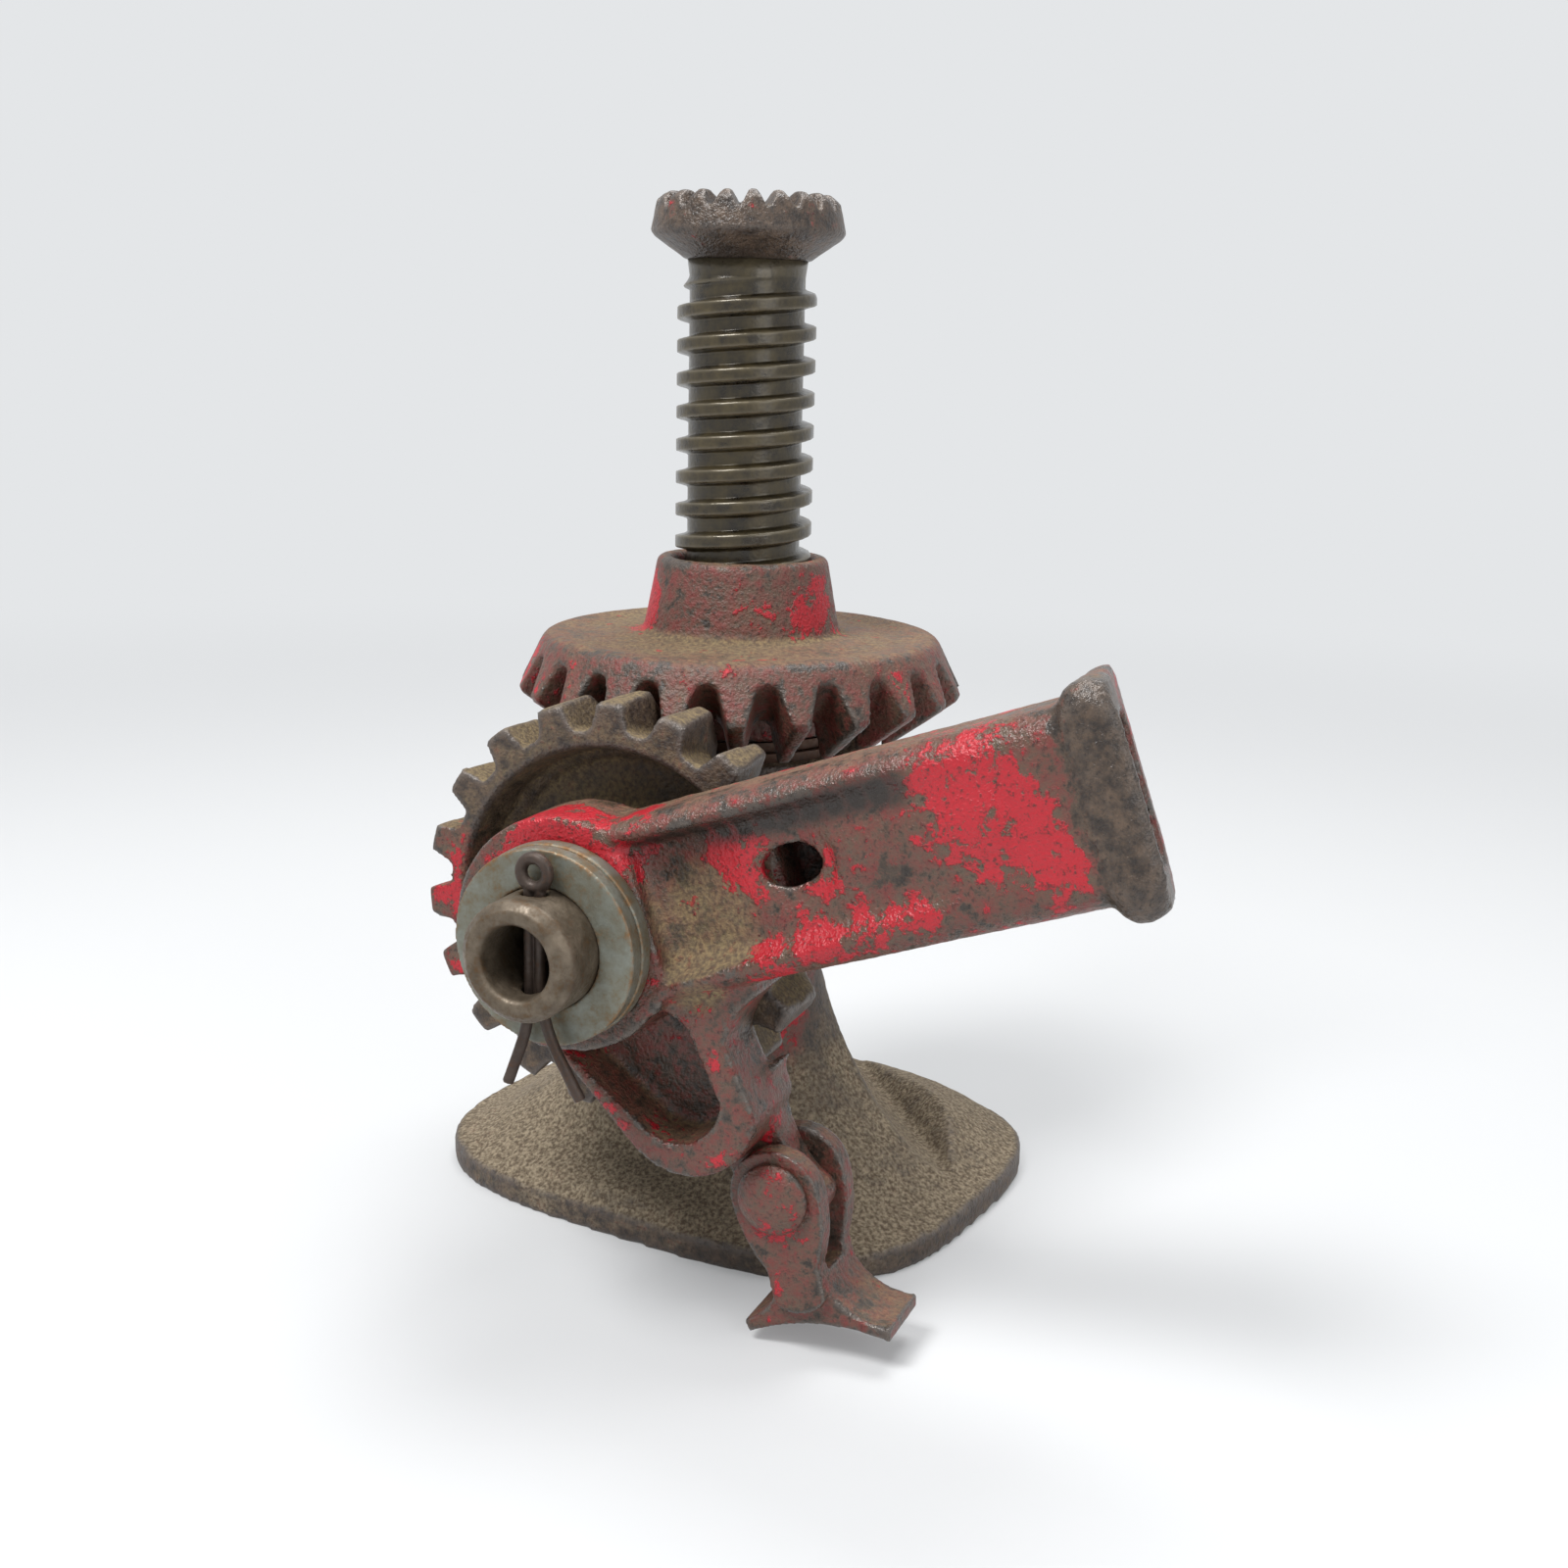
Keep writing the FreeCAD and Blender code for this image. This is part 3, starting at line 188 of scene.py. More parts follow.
def worn_casting(
    name, colours, sizes, faded=0.5, vivid=0.35, dust=0.4, shine=0.5, red=(), bare=(), dusty=(), painted_shade=(),
    powder=None,
):
    """Sand-cast grey iron under brushed oil enamel. The paint stays vivid in a few places, is thin and
    brown in others and has worn off the high edges, which are rubbed dark and bright. Ochre dust cakes on
    the oil where the surface faces up or lies deep. faded, vivid, dust and shine go from 0 to 1; red, bare
    and dusty are spots where there is more of each, and the spots after them are painted shade: dark iron
    laid where shade falls under a ridge or an overhang.
    """
    material, tree, shader = new_material(name)
    place = add(tree, "ShaderNodeTexCoord").outputs["Object"]
    geometry = add(tree, "ShaderNodeNewGeometry")
    patches = add(
        tree, "ShaderNodeTexNoise",
        {"Scale": 1 / PATCH_SIZE, "Detail": 7.0, "Roughness": 0.6}, {"Vector": place},
    ).outputs["Fac"]
    flecks = add(
        tree, "ShaderNodeTexNoise",
        {"Scale": 1 / FLECK_SIZE, "Detail": 5.0, "Roughness": 0.68}, {"Vector": place},
    ).outputs["Fac"]
    grit = add(
        tree, "ShaderNodeTexNoise", {"Scale": 1 / sizes.grit_size, "Detail": 2.0, "Roughness": 0.6},
        {"Vector": place},
    ).outputs["Fac"]
    edges = add(
        tree, "ShaderNodeMapRange", {"From Min": 0.503, "From Max": 0.55, "To Min": 0.0, "To Max": 1.0},
        {"Value": geometry.outputs["Pointiness"]},
    ).outputs["Result"]
    hollows = add(
        tree, "ShaderNodeMapRange", {"From Min": 0.497, "From Max": 0.45, "To Min": 0.0, "To Max": 1.0},
        {"Value": geometry.outputs["Pointiness"]},
    ).outputs["Result"]

    # How much paint is left at a place
    level = add(
        tree, "ShaderNodeMath", {"operation": "MULTIPLY_ADD", 1: 0.8},
        {0: flecks, 2: patches},
    )
    level = add(
        tree, "ShaderNodeMath", {"operation": "MULTIPLY_ADD", 1: 0.2},
        {0: grit, 2: level.outputs[0]},
    )
    level = add(
        tree, "ShaderNodeMath", {"operation": "MULTIPLY_ADD", 1: -0.2},
        {0: edges, 2: level.outputs[0]},
    )
    for spots, sign in ((red, 1.0), (bare, -1.0)):
        if spots:
            level = add(tree, "ShaderNodeMath", {"operation": "MULTIPLY_ADD", 1: sign},
                        {0: spots_field(tree, place, spots), 2: level.outputs[0]})
    thin = add(
        tree, "ShaderNodeMapRange",
        {"From Min": 1.46 - faded, "From Max": 1.58 - faded, "To Min": 0.0, "To Max": 1.0},
        {"Value": level.outputs[0]},
    ).outputs["Result"]
    whole = add(
        tree, "ShaderNodeMapRange",
        {"From Min": 1.46 - vivid, "From Max": 1.51 - vivid, "To Min": 0.0, "To Max": 1.0},
        {"Value": level.outputs[0]},
    ).outputs["Result"]

    # Iron, dark in its pores and brown between, rubbed bright on its edges
    mottle = add(
        tree, "ShaderNodeMapRange", {"From Min": 0.36, "From Max": 0.64, "To Min": 0.0, "To Max": 1.0},
        {"Value": flecks},
    ).outputs["Result"]
    iron = add(
        tree, "ShaderNodeMix",
        {"data_type": "RGBA", 6: (*colours.dark_iron, 1), 7: (*colours.brown_iron, 1)},
        {0: mottle},
    ).outputs[2]
    rub = add(tree, "ShaderNodeMath", {"operation": "MULTIPLY", 1: 0.7}, {0: edges}).outputs[0]
    iron = add(
        tree, "ShaderNodeMix", {"data_type": "RGBA", 7: (*colours.bare_iron, 1)}, {0: rub, 6: iron},
    ).outputs[2]
    stained = add(
        tree, "ShaderNodeMix",
        {"data_type": "RGBA", 6: (*colours.brown_iron, 1), 7: (*colours.faded_paint, 1)},
        {0: mottle},
    ).outputs[2]
    coat = add(tree, "ShaderNodeMix", {"data_type": "RGBA"}, {0: thin, 6: iron, 7: stained}).outputs[2]
    coat = add(
        tree, "ShaderNodeMix", {"data_type": "RGBA", 7: (*colours.red_paint, 1)}, {0: whole, 6: coat},
    ).outputs[2]

    # Pores of the sand-cast skin, black with oil
    pores = add(
        tree, "ShaderNodeMapRange", {"From Min": 0.56, "From Max": 0.7, "To Min": 0.0, "To Max": 0.75},
        {"Value": grit},
    ).outputs["Result"]
    coat = add(
        tree, "ShaderNodeMix", {"data_type": "RGBA", 7: (*colours.dark_iron, 1)}, {0: pores, 6: coat},
    ).outputs[2]

    # Dust
    facing = add(tree, "ShaderNodeSeparateXYZ", links={0: geometry.outputs["Normal"]})
    upward = add(
        tree, "ShaderNodeMapRange", {"From Min": 0.1, "From Max": 0.95, "To Min": 0.0, "To Max": 0.55},
        {"Value": facing.outputs["Z"]},
    ).outputs["Result"]
    drift = add(
        tree, "ShaderNodeMath", {"operation": "MULTIPLY_ADD", 1: 0.45},
        {0: hollows, 2: upward},
    )
    drift = add(
        tree, "ShaderNodeMath", {"operation": "MULTIPLY_ADD", 1: 0.9},
        {0: patches, 2: drift.outputs[0]},
    )
    drift = add(
        tree, "ShaderNodeMath", {"operation": "MULTIPLY_ADD", 1: 0.5},
        {0: flecks, 2: drift.outputs[0]},
    )
    drift = add(
        tree, "ShaderNodeMath", {"operation": "MULTIPLY_ADD", 1: -0.35},
        {0: whole, 2: drift.outputs[0]},
    )
    drift = add(
        tree, "ShaderNodeMath", {"operation": "MULTIPLY_ADD", 1: -0.4},
        {0: edges, 2: drift.outputs[0]},
    )
    if dusty:
        drift = add(tree, "ShaderNodeMath", {"operation": "ADD"},
                    {0: spots_field(tree, place, dusty), 1: drift.outputs[0]})
    caked = add(
        tree, "ShaderNodeMapRange",
        {"From Min": 1.3 - dust, "From Max": 1.75 - dust, "To Min": 0.0, "To Max": 0.86},
        {"Value": drift.outputs[0]},
    ).outputs["Result"]
    grain = add(
        tree, "ShaderNodeMapRange", {"From Min": 0.34, "From Max": 0.62, "To Min": 0.0, "To Max": 1.0},
        {"Value": grit},
    ).outputs["Result"]
    dusted = add(
        tree, "ShaderNodeMix",
        {"data_type": "RGBA", 6: (*(powder or colours.dust), 1), 7: (*colours.dark_dust, 1)},
        {0: grain},
    ).outputs[2]
    skin = add(
        tree, "ShaderNodeMix",
        {"data_type": "RGBA"},
        {0: caked, 6: coat, 7: dusted},
    ).outputs[2]
    # Painted shade: these spots lay dark iron over the skin where shade falls, in the valley under the
    # lever's top ridge and under the cap
    if painted_shade:
        skin = add(
            tree, "ShaderNodeMix", {"data_type": "RGBA", 7: (*colours.dark_iron, 1), "clamp_factor": True},
            {0: spots_field(tree, place, painted_shade), 6: skin},
        ).outputs[2]
    tree.links.new(skin, shader.inputs["Base Color"])

    # Enamel and rubbed iron shine, rust less, dust not at all
    gloss = add(
        tree, "ShaderNodeMapRange",
        {"From Min": 0.3, "From Max": 0.75, "To Min": 0.6 - 0.4 * shine, "To Max": 0.78 - 0.4 * shine},
        {"Value": flecks},
    ).outputs["Result"]
    gloss = add(
        tree, "ShaderNodeMath", {"operation": "MULTIPLY_ADD", 1: -0.14},
        {0: edges, 2: gloss},
    ).outputs[0]
    dull = add(tree, "ShaderNodeMix", {"data_type": "FLOAT", 3: 0.93}, {0: caked, 2: gloss}).outputs[0]
    tree.links.new(dull, shader.inputs["Roughness"])
    metal = add(tree, "ShaderNodeMath", {"operation": "MULTIPLY", 1: 0.5}, {0: rub}).outputs[0]
    tree.links.new(metal, shader.inputs["Metallic"])
    relief = add(
        tree, "ShaderNodeMath", {"operation": "MULTIPLY_ADD", 1: 0.9},
        {0: flecks, 2: grit},
    ).outputs[0]
    relief = add(
        tree, "ShaderNodeMath", {"operation": "MULTIPLY_ADD", 1: 0.3},
        {0: whole, 2: relief},
    ).outputs[0]
    bump = add(
        tree, "ShaderNodeBump",
        {"Strength": 0.9, "Distance": 0.55 * MM},
        {"Height": relief},
    )
    tree.links.new(bump.outputs["Normal"], shader.inputs["Normal"])
    return material


# Old grease where it lies thick and thin, and the steel that wears through on the thread's crests
GREASE_DARK = linear("#231C10")
GREASE_OLIVE = linear("#4B4025")
WORN_CREST = linear("#6F6653")


def greased_steel():
    """Turned mild steel under old grease: smeared in patches from nearly black to olive brown, lighter where
    the steel wears through on the crests, with the wet gloss of the grease over all of it.
    """
    material, tree, shader = new_material("greased_turned_steel")
    place = add(tree, "ShaderNodeTexCoord").outputs["Object"]
    geometry = add(tree, "ShaderNodeNewGeometry")
    smear = add(
        tree, "ShaderNodeTexNoise",
        {"Scale": 1 / (6 * MM), "Detail": 6.0, "Roughness": 0.65},
        {"Vector": place},
    ).outputs["Fac"]
    beads = add(
        tree, "ShaderNodeTexNoise",
        {"Scale": 1 / (1.4 * MM), "Detail": 3.0},
        {"Vector": place},
    )
    thick = add(
        tree, "ShaderNodeMapRange",
        {"From Min": 0.36, "From Max": 0.66, "To Min": 0.0, "To Max": 1.0},
        {"Value": smear},
    ).outputs["Result"]
    tone = add(
        tree, "ShaderNodeMix",
        {"data_type": "RGBA", 6: (*GREASE_DARK, 1), 7: (*GREASE_OLIVE, 1)}, {0: thick},
    ).outputs[2]
    crest = add(
        tree, "ShaderNodeMapRange",
        {"From Min": 0.5, "From Max": 0.57, "To Min": 0.0, "To Max": 0.75},
        {"Value": geometry.outputs["Pointiness"]},
    ).outputs["Result"]
    worn = add(
        tree, "ShaderNodeMix",
        {"data_type": "RGBA", 7: (*WORN_CREST, 1)},
        {0: crest, 6: tone},
    ).outputs[2]
    tree.links.new(worn, shader.inputs["Base Color"])
    shader.inputs["Metallic"].default_value = 0.4
    wet = add(
        tree, "ShaderNodeMapRange",
        {"From Min": 0.35, "From Max": 0.7, "To Min": 0.24, "To Max": 0.5},
        {"Value": smear},
    ).outputs["Result"]
    tree.links.new(wet, shader.inputs["Roughness"])
    shader.inputs["Coat Weight"].default_value = 0.45
    shader.inputs["Coat Roughness"].default_value = 0.22
    bump = add(
        tree, "ShaderNodeBump",
        {"Strength": 0.6, "Distance": 0.3 * MM},
        {"Height": beads.outputs["Fac"]},
    )
    tree.links.new(bump.outputs["Normal"], shader.inputs["Normal"])
    return material


def plated_steel(name, base, tarnish, rust, roughness=0.45):
    """Zinc-plated or plain mild steel: the plating has gone dull and chalky, with rust creeping in."""
    material, tree, shader = new_material(name)
    place = add(tree, "ShaderNodeTexCoord").outputs["Object"]
    cloud = add(
        tree, "ShaderNodeTexNoise",
        {"Scale": 1 / (6 * MM), "Detail": 7.0, "Roughness": 0.65},
        {"Vector": place},
    )
    grain = add(
        tree, "ShaderNodeTexNoise",
        {"Scale": 1 / (1.0 * MM), "Detail": 4.0},
        {"Vector": place},
    )
    geometry = add(tree, "ShaderNodeNewGeometry")
    rims = add(
        tree, "ShaderNodeMapRange",
        {"From Min": 0.5, "From Max": 0.57, "To Min": 0.0, "To Max": 0.25},
        {"Value": geometry.outputs["Pointiness"]},
    )
    cloudy = add(
        tree, "ShaderNodeMapRange",
        {"From Min": 0.36, "From Max": 0.64, "To Min": 0.0, "To Max": 1.0},
        {"Value": cloud.outputs["Fac"]},
    )
    dulled = add(
        tree, "ShaderNodeMix",
        {"data_type": "RGBA", 6: (*base, 1), 7: (*tarnish, 1)},
        {0: cloudy.outputs["Result"]},
    )
    edge_sum = add(tree, "ShaderNodeMath", {"operation": "MULTIPLY_ADD", 1: 0.5},
                   {0: grain.outputs["Fac"], 2: rims.outputs["Result"]})
    rusty = add(tree, "ShaderNodeMath", {"operation": "MULTIPLY_ADD", 1: 0.75},
                {0: cloud.outputs["Fac"], 2: edge_sum.outputs["Value"]})
    spread = add(
        tree, "ShaderNodeMapRange",
        {"From Min": 0.66, "From Max": 0.9, "To Min": 0.0, "To Max": 0.85},
        {"Value": rusty.outputs["Value"]},
    )
    skin = add(
        tree, "ShaderNodeMix",
        {"data_type": "RGBA", 7: (*rust, 1)},
        {0: spread.outputs["Result"], 6: dulled.outputs[2]},
    )
    tree.links.new(skin.outputs[2], shader.inputs["Base Color"])
    shader.inputs["Metallic"].default_value = 0.45
    rough = add(
        tree, "ShaderNodeMapRange",
        {"From Min": 0.3, "From Max": 0.75, "To Min": roughness - 0.1, "To Max": roughness + 0.25},
        {"Value": grain.outputs["Fac"]},
    )
    tree.links.new(rough.outputs["Result"], shader.inputs["Roughness"])
    bump = add(
        tree, "ShaderNodeBump",
        {"Strength": 0.4, "Distance": 0.2 * MM},
        {"Height": grain.outputs["Fac"]},
    )
    tree.links.new(bump.outputs["Normal"], shader.inputs["Normal"])
    return material


def new_piece(name, mesh, material, body, smooth=True):
    """Put a mesh in the scene as a piece that rides on a body."""
    mesh.materials.clear()
    mesh.materials.append(material)
    piece = bpy.data.objects.new(name, mesh)
    bpy.context.scene.collection.objects.link(piece)
    if smooth:
        mesh.shade_smooth()
    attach(piece, body)
    return piece


def final_mesh(piece):
    """The piece's mesh with its modifiers applied."""
    graph = bpy.context.evaluated_depsgraph_get()
    return bpy.data.meshes.new_from_object(piece.evaluated_get(graph))


def keep_inside(mesh, low, high):
    """Bring points that the relief lifted out of the solid's box back to the box."""
    for vertex in mesh.vertices:
        vertex.co = [min(max(part, least), most) for part, least, most in zip(vertex.co, low, high)]


def sand_cast(name, node, body, material, grain, softening, relief, sculpt=None):
    """Rebuild a casting as one skin: an even grid of faces, edges worn round, surface uneven."""
    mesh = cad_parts[node].data.copy()
    welded = bmesh.new()
    welded.from_mesh(mesh)
    bmesh.ops.remove_doubles(welded, verts=welded.verts, dist=0.01 * MM)
    welded.to_mesh(mesh)
    welded.free()
    if sculpt:
        mesh = sculpt(mesh, grain)
    blank = bpy.data.objects.new(name + "_blank", mesh)
    bpy.context.scene.collection.objects.link(blank)
    skin = blank.modifiers.new("skin", "REMESH")
    skin.mode = "VOXEL"
    skin.voxel_size = grain
    wear = blank.modifiers.new("wear", "SMOOTH")
    wear.factor = 0.5
    wear.iterations = softening
    if relief:
        for label, size, share in (("swell", 9 * MM, 0.6), ("sand", 2.4 * MM, 0.4)):
            pattern = bpy.data.textures.new(name + "_" + label, "CLOUDS")
            pattern.noise_scale = size
            pattern.noise_depth = 2
            uneven = blank.modifiers.new(label, "DISPLACE")
            uneven.texture = pattern
            uneven.texture_coords = "LOCAL"
            uneven.strength = relief * share * 2
    cast = final_mesh(blank)
    bpy.data.objects.remove(blank)
    keep_inside(cast, *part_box(node))
    piece = new_piece(name, cast, material, body)
    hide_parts(node)
    return piece


def step(value, start, end):
    """Smooth step from 0 at start to 1 at end, which may run either way."""
    share = min(max((value - start) / (end - start), 0), 1)
    return share * share * (3 - 2 * share)


def on_arm(along, across, front=105, *more):
    """A place on the lever, in millimetres along and across its arm, with what follows it."""
    x = along * math.cos(ARM_LEAN) - across * math.sin(ARM_LEAN)
    z = along * math.sin(ARM_LEAN) + across * math.cos(ARM_LEAN)
    return (x, -front, z + HUB.z / MM, *more)


def hollow_arm(mesh, grain):
    """Sink the arm's front between its two rolled ridges, deepest beside the hub and fading to the mouth,
    and draw its sight hole out into an oval with a dished rim.
    """
    blank = bpy.data.objects.new("arm_blank", mesh)
    bpy.context.scene.collection.objects.link(blank)
    skin = blank.modifiers.new("skin", "REMESH")
    skin.mode = "VOXEL"
    skin.voxel_size = grain
    fine = final_mesh(blank)
    bpy.data.objects.remove(blank)
    lean_cos = math.cos(ARM_LEAN)
    lean_sin = math.sin(ARM_LEAN)
    facing = [vertex.normal.y for vertex in fine.vertices]
    for vertex, outward in zip(fine.vertices, facing):
        x, y, z = vertex.co
        along = (x * lean_cos + (z - HUB.z) * lean_sin) / MM
        across = ((z - HUB.z) * lean_cos - x * lean_sin) / MM
        if not 18 < along < 118 or y > -94 * MM:
            continue
        from_hole = math.hypot(along - SIGHT_HOLE[0], across - SIGHT_HOLE[1])
        deepest = 95.5 * MM if along < 57 else 97.7 * MM
        if outward < 0.05 and -y > deepest:
            beside_hub = step(math.hypot(along, across), 25.0, 31.0)
            under_ridge = step(across, 19.8, 15.2)
            ridge_line = -15.5 + 5.0 * step(along, 40, 110)
            over_ridge = step(across, ridge_line - 2.5, ridge_line + 6)
            full = 9.2 - 4.6 * step(along, 30, 60) - 4.6 * step(along, 60, 118)
            swelling = 1.1 * step(across, -9, 2) * step(across, 13, 4) * step(along, 62, 84)
            rim = 0.9 * step(from_hole, 13, 7)
            share = beside_hub * under_ridge * over_ridge
            floor = (full - swelling + rim) * MM - ARM_FACE
            vertex.co.y = y + (floor - y) * share
        pull = step(from_hole, 13, 6)
        stretch = (along - SIGHT_HOLE[0]) * 0.42 * pull * MM
        squeeze = (across - SIGHT_HOLE[1]) * -0.12 * pull * MM
        vertex.co.x += stretch * lean_cos - squeeze * lean_sin
        vertex.co.z += stretch * lean_sin + squeeze * lean_cos
    return fine


def thread_radius(phase, crest, root):
    """Radius of a worn square thread at a share of its pitch."""
    flank = 0.09
    half_crest = 0.21
    distance = abs((phase + 0.5) % 1.0 - 0.5)
    if distance <= half_crest - 0.04:
        return crest
    if distance >= half_crest + flank:
        return root
    share = (distance - half_crest + 0.04) / (flank + 0.04)
    return root + (crest - root) * (0.5 + 0.5 * math.cos(math.pi * share))


def screw_mesh(sizes):
    """Threaded bar: one grid of rings whose radius follows the helix, closed at both ends."""
    low = SCREW_LOW.z
    high = SCREW_HIGH.z
    crest = SCREW_HIGH.x
    root = crest - sizes.thread_depth
    thread_end = 257.5 * MM
    runout = 6 * MM
    neck = 15.8 * MM
    shoulder = 16.4 * MM
    spigot = 8.9 * MM
    collar_seat = 12.95 * MM
    seat = CAP_LOW.z
    around = 112
    rise = sizes.thread_pitch / 22
    foot = low + 8.6 * MM
    levels = [foot + rise * number for number in range(int((thread_end + runout - foot) / rise) + 1)]
    shape = bmesh.new()
    rings = []

    def ring(height, radius_at):
        verts = []
        for number in range(around):
            angle = 2 * math.pi * number / around
            radius = radius_at(angle)
            verts.append(shape.verts.new((radius * math.cos(angle), radius * math.sin(angle), height)))
        rings.append(verts)

    ring(low, lambda angle: collar_seat)
    ring(foot - 0.7 * MM, lambda angle: collar_seat)
    ring(foot - 0.6 * MM, lambda angle: root - 1 * MM)
    for height in levels:
        fade = min(max((height - thread_end) / runout, 0), 1)

        def radius_at(angle):
            turn = (angle + sizes.thread_start) / (2 * math.pi)
            phase = (height - low) / sizes.thread_pitch - turn
            cut = thread_radius(phase, crest, root)
            return cut + (neck - cut) * (fade * fade * (3 - 2 * fade))

        ring(height, radius_at)
    ring(seat - 0.02 * MM, lambda angle: shoulder)
    ring(seat - 0.01 * MM, lambda angle: spigot)
    ring(high, lambda angle: spigot)
    for lower, upper in zip(rings, rings[1:]):
        for number in range(around):
            after = (number + 1) % around
            shape.faces.new((lower[number], lower[after], upper[after], upper[number]))
    shape.faces.new(list(reversed(rings[0])))
    shape.faces.new(rings[-1])
    mesh = bpy.data.meshes.new("lifting_screw")
    shape.to_mesh(mesh)
    shape.free()
    return mesh


class PieceOperator:
    bl_options = {"REGISTER", "UNDO"}

    @classmethod
    def poll(cls, context):
        return context.scene is not None

    def cast(self, context, name, node, body, material, grain=1.0, softening=None, relief=1.0, sculpt=None):
        sizes = context.scene.jack_sizes
        passes = sizes.edge_softening if softening is None else softening
        return sand_cast(
            name, node, body, material, sizes.skin_grain * grain, passes, sizes.skin_relief * relief,
            sculpt,
        )


class JACK_OT_stand(PieceOperator, bpy.types.Operator):
    """Cast the flared stand with its waisted column"""

    bl_idname = "jack.stand"
    bl_label = "Stand"

    def execute(self, context):
        scene = context.scene
        dusty = worn_casting(
            "dusty_cast_iron", scene.jack_colours, scene.jack_sizes,
            faded=0.34, vivid=0.1, dust=0.62, shine=0.35,
            red=[(24, -14, 76, 24, 0.45), (22, -20, 58, 16, 0.4), (0, 0, 128, 44, 0.2)],
            dusty=[(60, -62, 12, 40, 0.25), (-40, -40, 20, 40, 0.2), (24, -18, 72, 30, -0.5)],
            powder=linear("#A3957D"),
        )
        self.cast(
            context, "stand_casting", "base_casting", "stand", dusty, grain=1.3, softening=5, relief=1.6,
        )
        return {"FINISHED"}


class JACK_OT_crown(PieceOperator, bpy.types.Operator):
    """Cast the crown gear and its nut"""

    bl_idname = "jack.crown"
    bl_label = "Crown gear"

    def execute(self, context):
        scene = context.scene
        iron = worn_casting(
            "crown_cast_iron", scene.jack_colours, scene.jack_sizes,
            faded=0.64, vivid=0.3, dust=0.33, shine=0.45,
            red=[(-22, -12, 174, 15, 0.35), (21, -6, 176, 12, 0.3), (-46, -36, 150, 24, 0.16)],
            dusty=[(0, -14, 166, 34, 0.2), (-20, 20, 164, 40, 0.2)],
        )
        self.cast(context, "crown_wheel", "crown_gear", "crown", iron, softening=3, relief=0.6)
        return {"FINISHED"}


class JACK_OT_pinion(PieceOperator, bpy.types.Operator):
    """Cast the bevel pinion with its ratchet rim"""

    bl_idname = "jack.pinion"
    bl_label = "Pinion"

    def execute(self, context):
        scene = context.scene
        iron = worn_casting(
            "pinion_cast_iron", scene.jack_colours, scene.jack_sizes,
            faded=0.36, vivid=0.14, dust=0.58, shine=0.45,
            red=[(-50, -76, 100, 15, 0.42), (-46, -76, 118, 12, 0.3), (-46, -76, 84, 12, 0.3)],
            dusty=[(0, -84, 104, 60, 0.45)],
        )
        self.cast(context, "bevel_pinion", "pinion_gear", "pinion", iron, softening=3, relief=0.6)
        return {"FINISHED"}


class JACK_OT_lever(PieceOperator, bpy.types.Operator):
    """Cast the ratchet lever with its arm, mouth and cup"""

    bl_idname = "jack.lever"
    bl_label = "Lever"

    def execute(self, context):
        scene = context.scene
        enamel = worn_casting(
            "chipped_red_enamel", scene.jack_colours, scene.jack_sizes,
            faded=0.6, vivid=0.34, dust=0.22, shine=0.85,
            red=[on_arm(112, 8, 105, 26, 0.24), on_arm(127, -8, 105, 13, 0.24),
                 on_arm(66, -14, 105, 10, 0.24), on_arm(80, -13, 105, 10, 0.24),
                 on_arm(92, -12, 105, 10, 0.2), on_arm(50, -18, 103, 10, 0.24),
                 on_arm(4, 20, 100, 20, 0.36), on_arm(24, 20, 98, 18, 0.2), on_arm(50, 8, 100, 16, 0.18),
                 on_arm(76, 0, 103, 12, 0.14), (6, -102, 56, 14, 0.25)],
            bare=[on_arm(144, 16, 100, 15, 0.5), on_arm(144, 0, 102, 15, 0.5), on_arm(144, -16, 100, 15, 0.5),
                  on_arm(92, 2, 105, 14, 0.08)],
            dusty=[on_arm(38, -3, 98, 22, 0.75), on_arm(30, -20, 98, 12, 0.6)],
            # Painted shade: dark spots along the valley under the top ridge, where the ridge's shadow falls
            painted_shade=[on_arm(along, 15.6, 98.5 + along / 20, 6.5, 0.75) for along in range(28, 100, 6)],
        )
        self.cast(context, "ratchet_lever", "lever_casting", "lever", enamel, softening=5, relief=1.3,
                  sculpt=hollow_arm)
        return {"FINISHED"}


class JACK_OT_pawl(PieceOperator, bpy.types.Operator):
    """Cast the forked pawl and its headed pin"""

    bl_idname = "jack.pawl"
    bl_label = "Pawl"

    def execute(self, context):
        scene = context.scene
        enamel = worn_casting(
            "pawl_red_enamel", scene.jack_colours, scene.jack_sizes,
            faded=0.6, vivid=0.3, dust=0.25, shine=0.7,
            red=[(54, -96, 34, 16, 0.14), (50, -90, 14, 14, 0.1)],
        )
        self.cast(
            context, "forked_pawl", "ratchet_pawl", "pawl", enamel, grain=0.7, softening=4, relief=0.7,
        )
        self.cast(context, "pawl_rivet", "pawl_pin", "pawl", enamel, grain=0.6, softening=3, relief=0.5)
        return {"FINISHED"}


class JACK_OT_screw(PieceOperator, bpy.types.Operator):
    """Cut the lifting screw's thread and cast its toothed cap"""

    bl_idname = "jack.screw"
    bl_label = "Screw and cap"

    def execute(self, context):
        scene = context.scene
        steel = greased_steel()
        screw = new_piece("lifting_screw", screw_mesh(scene.jack_sizes), steel, "screw")
        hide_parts("lift_screw")
        iron = worn_casting(
            "cap_cast_iron", scene.jack_colours, scene.jack_sizes,
            faded=0.3, vivid=0.22, dust=0.12, shine=0.8,
            # Painted shade: a dark spot under the cap
            red=[(-12, -18, 279, 8, 0.2)], painted_shade=[(0, -12, 266, 17, 0.8)],
        )
        self.cast(context, "load_cap", "toothed_cap", "screw", iron, grain=0.6, softening=4, relief=0.8)
        return {"FINISHED"}


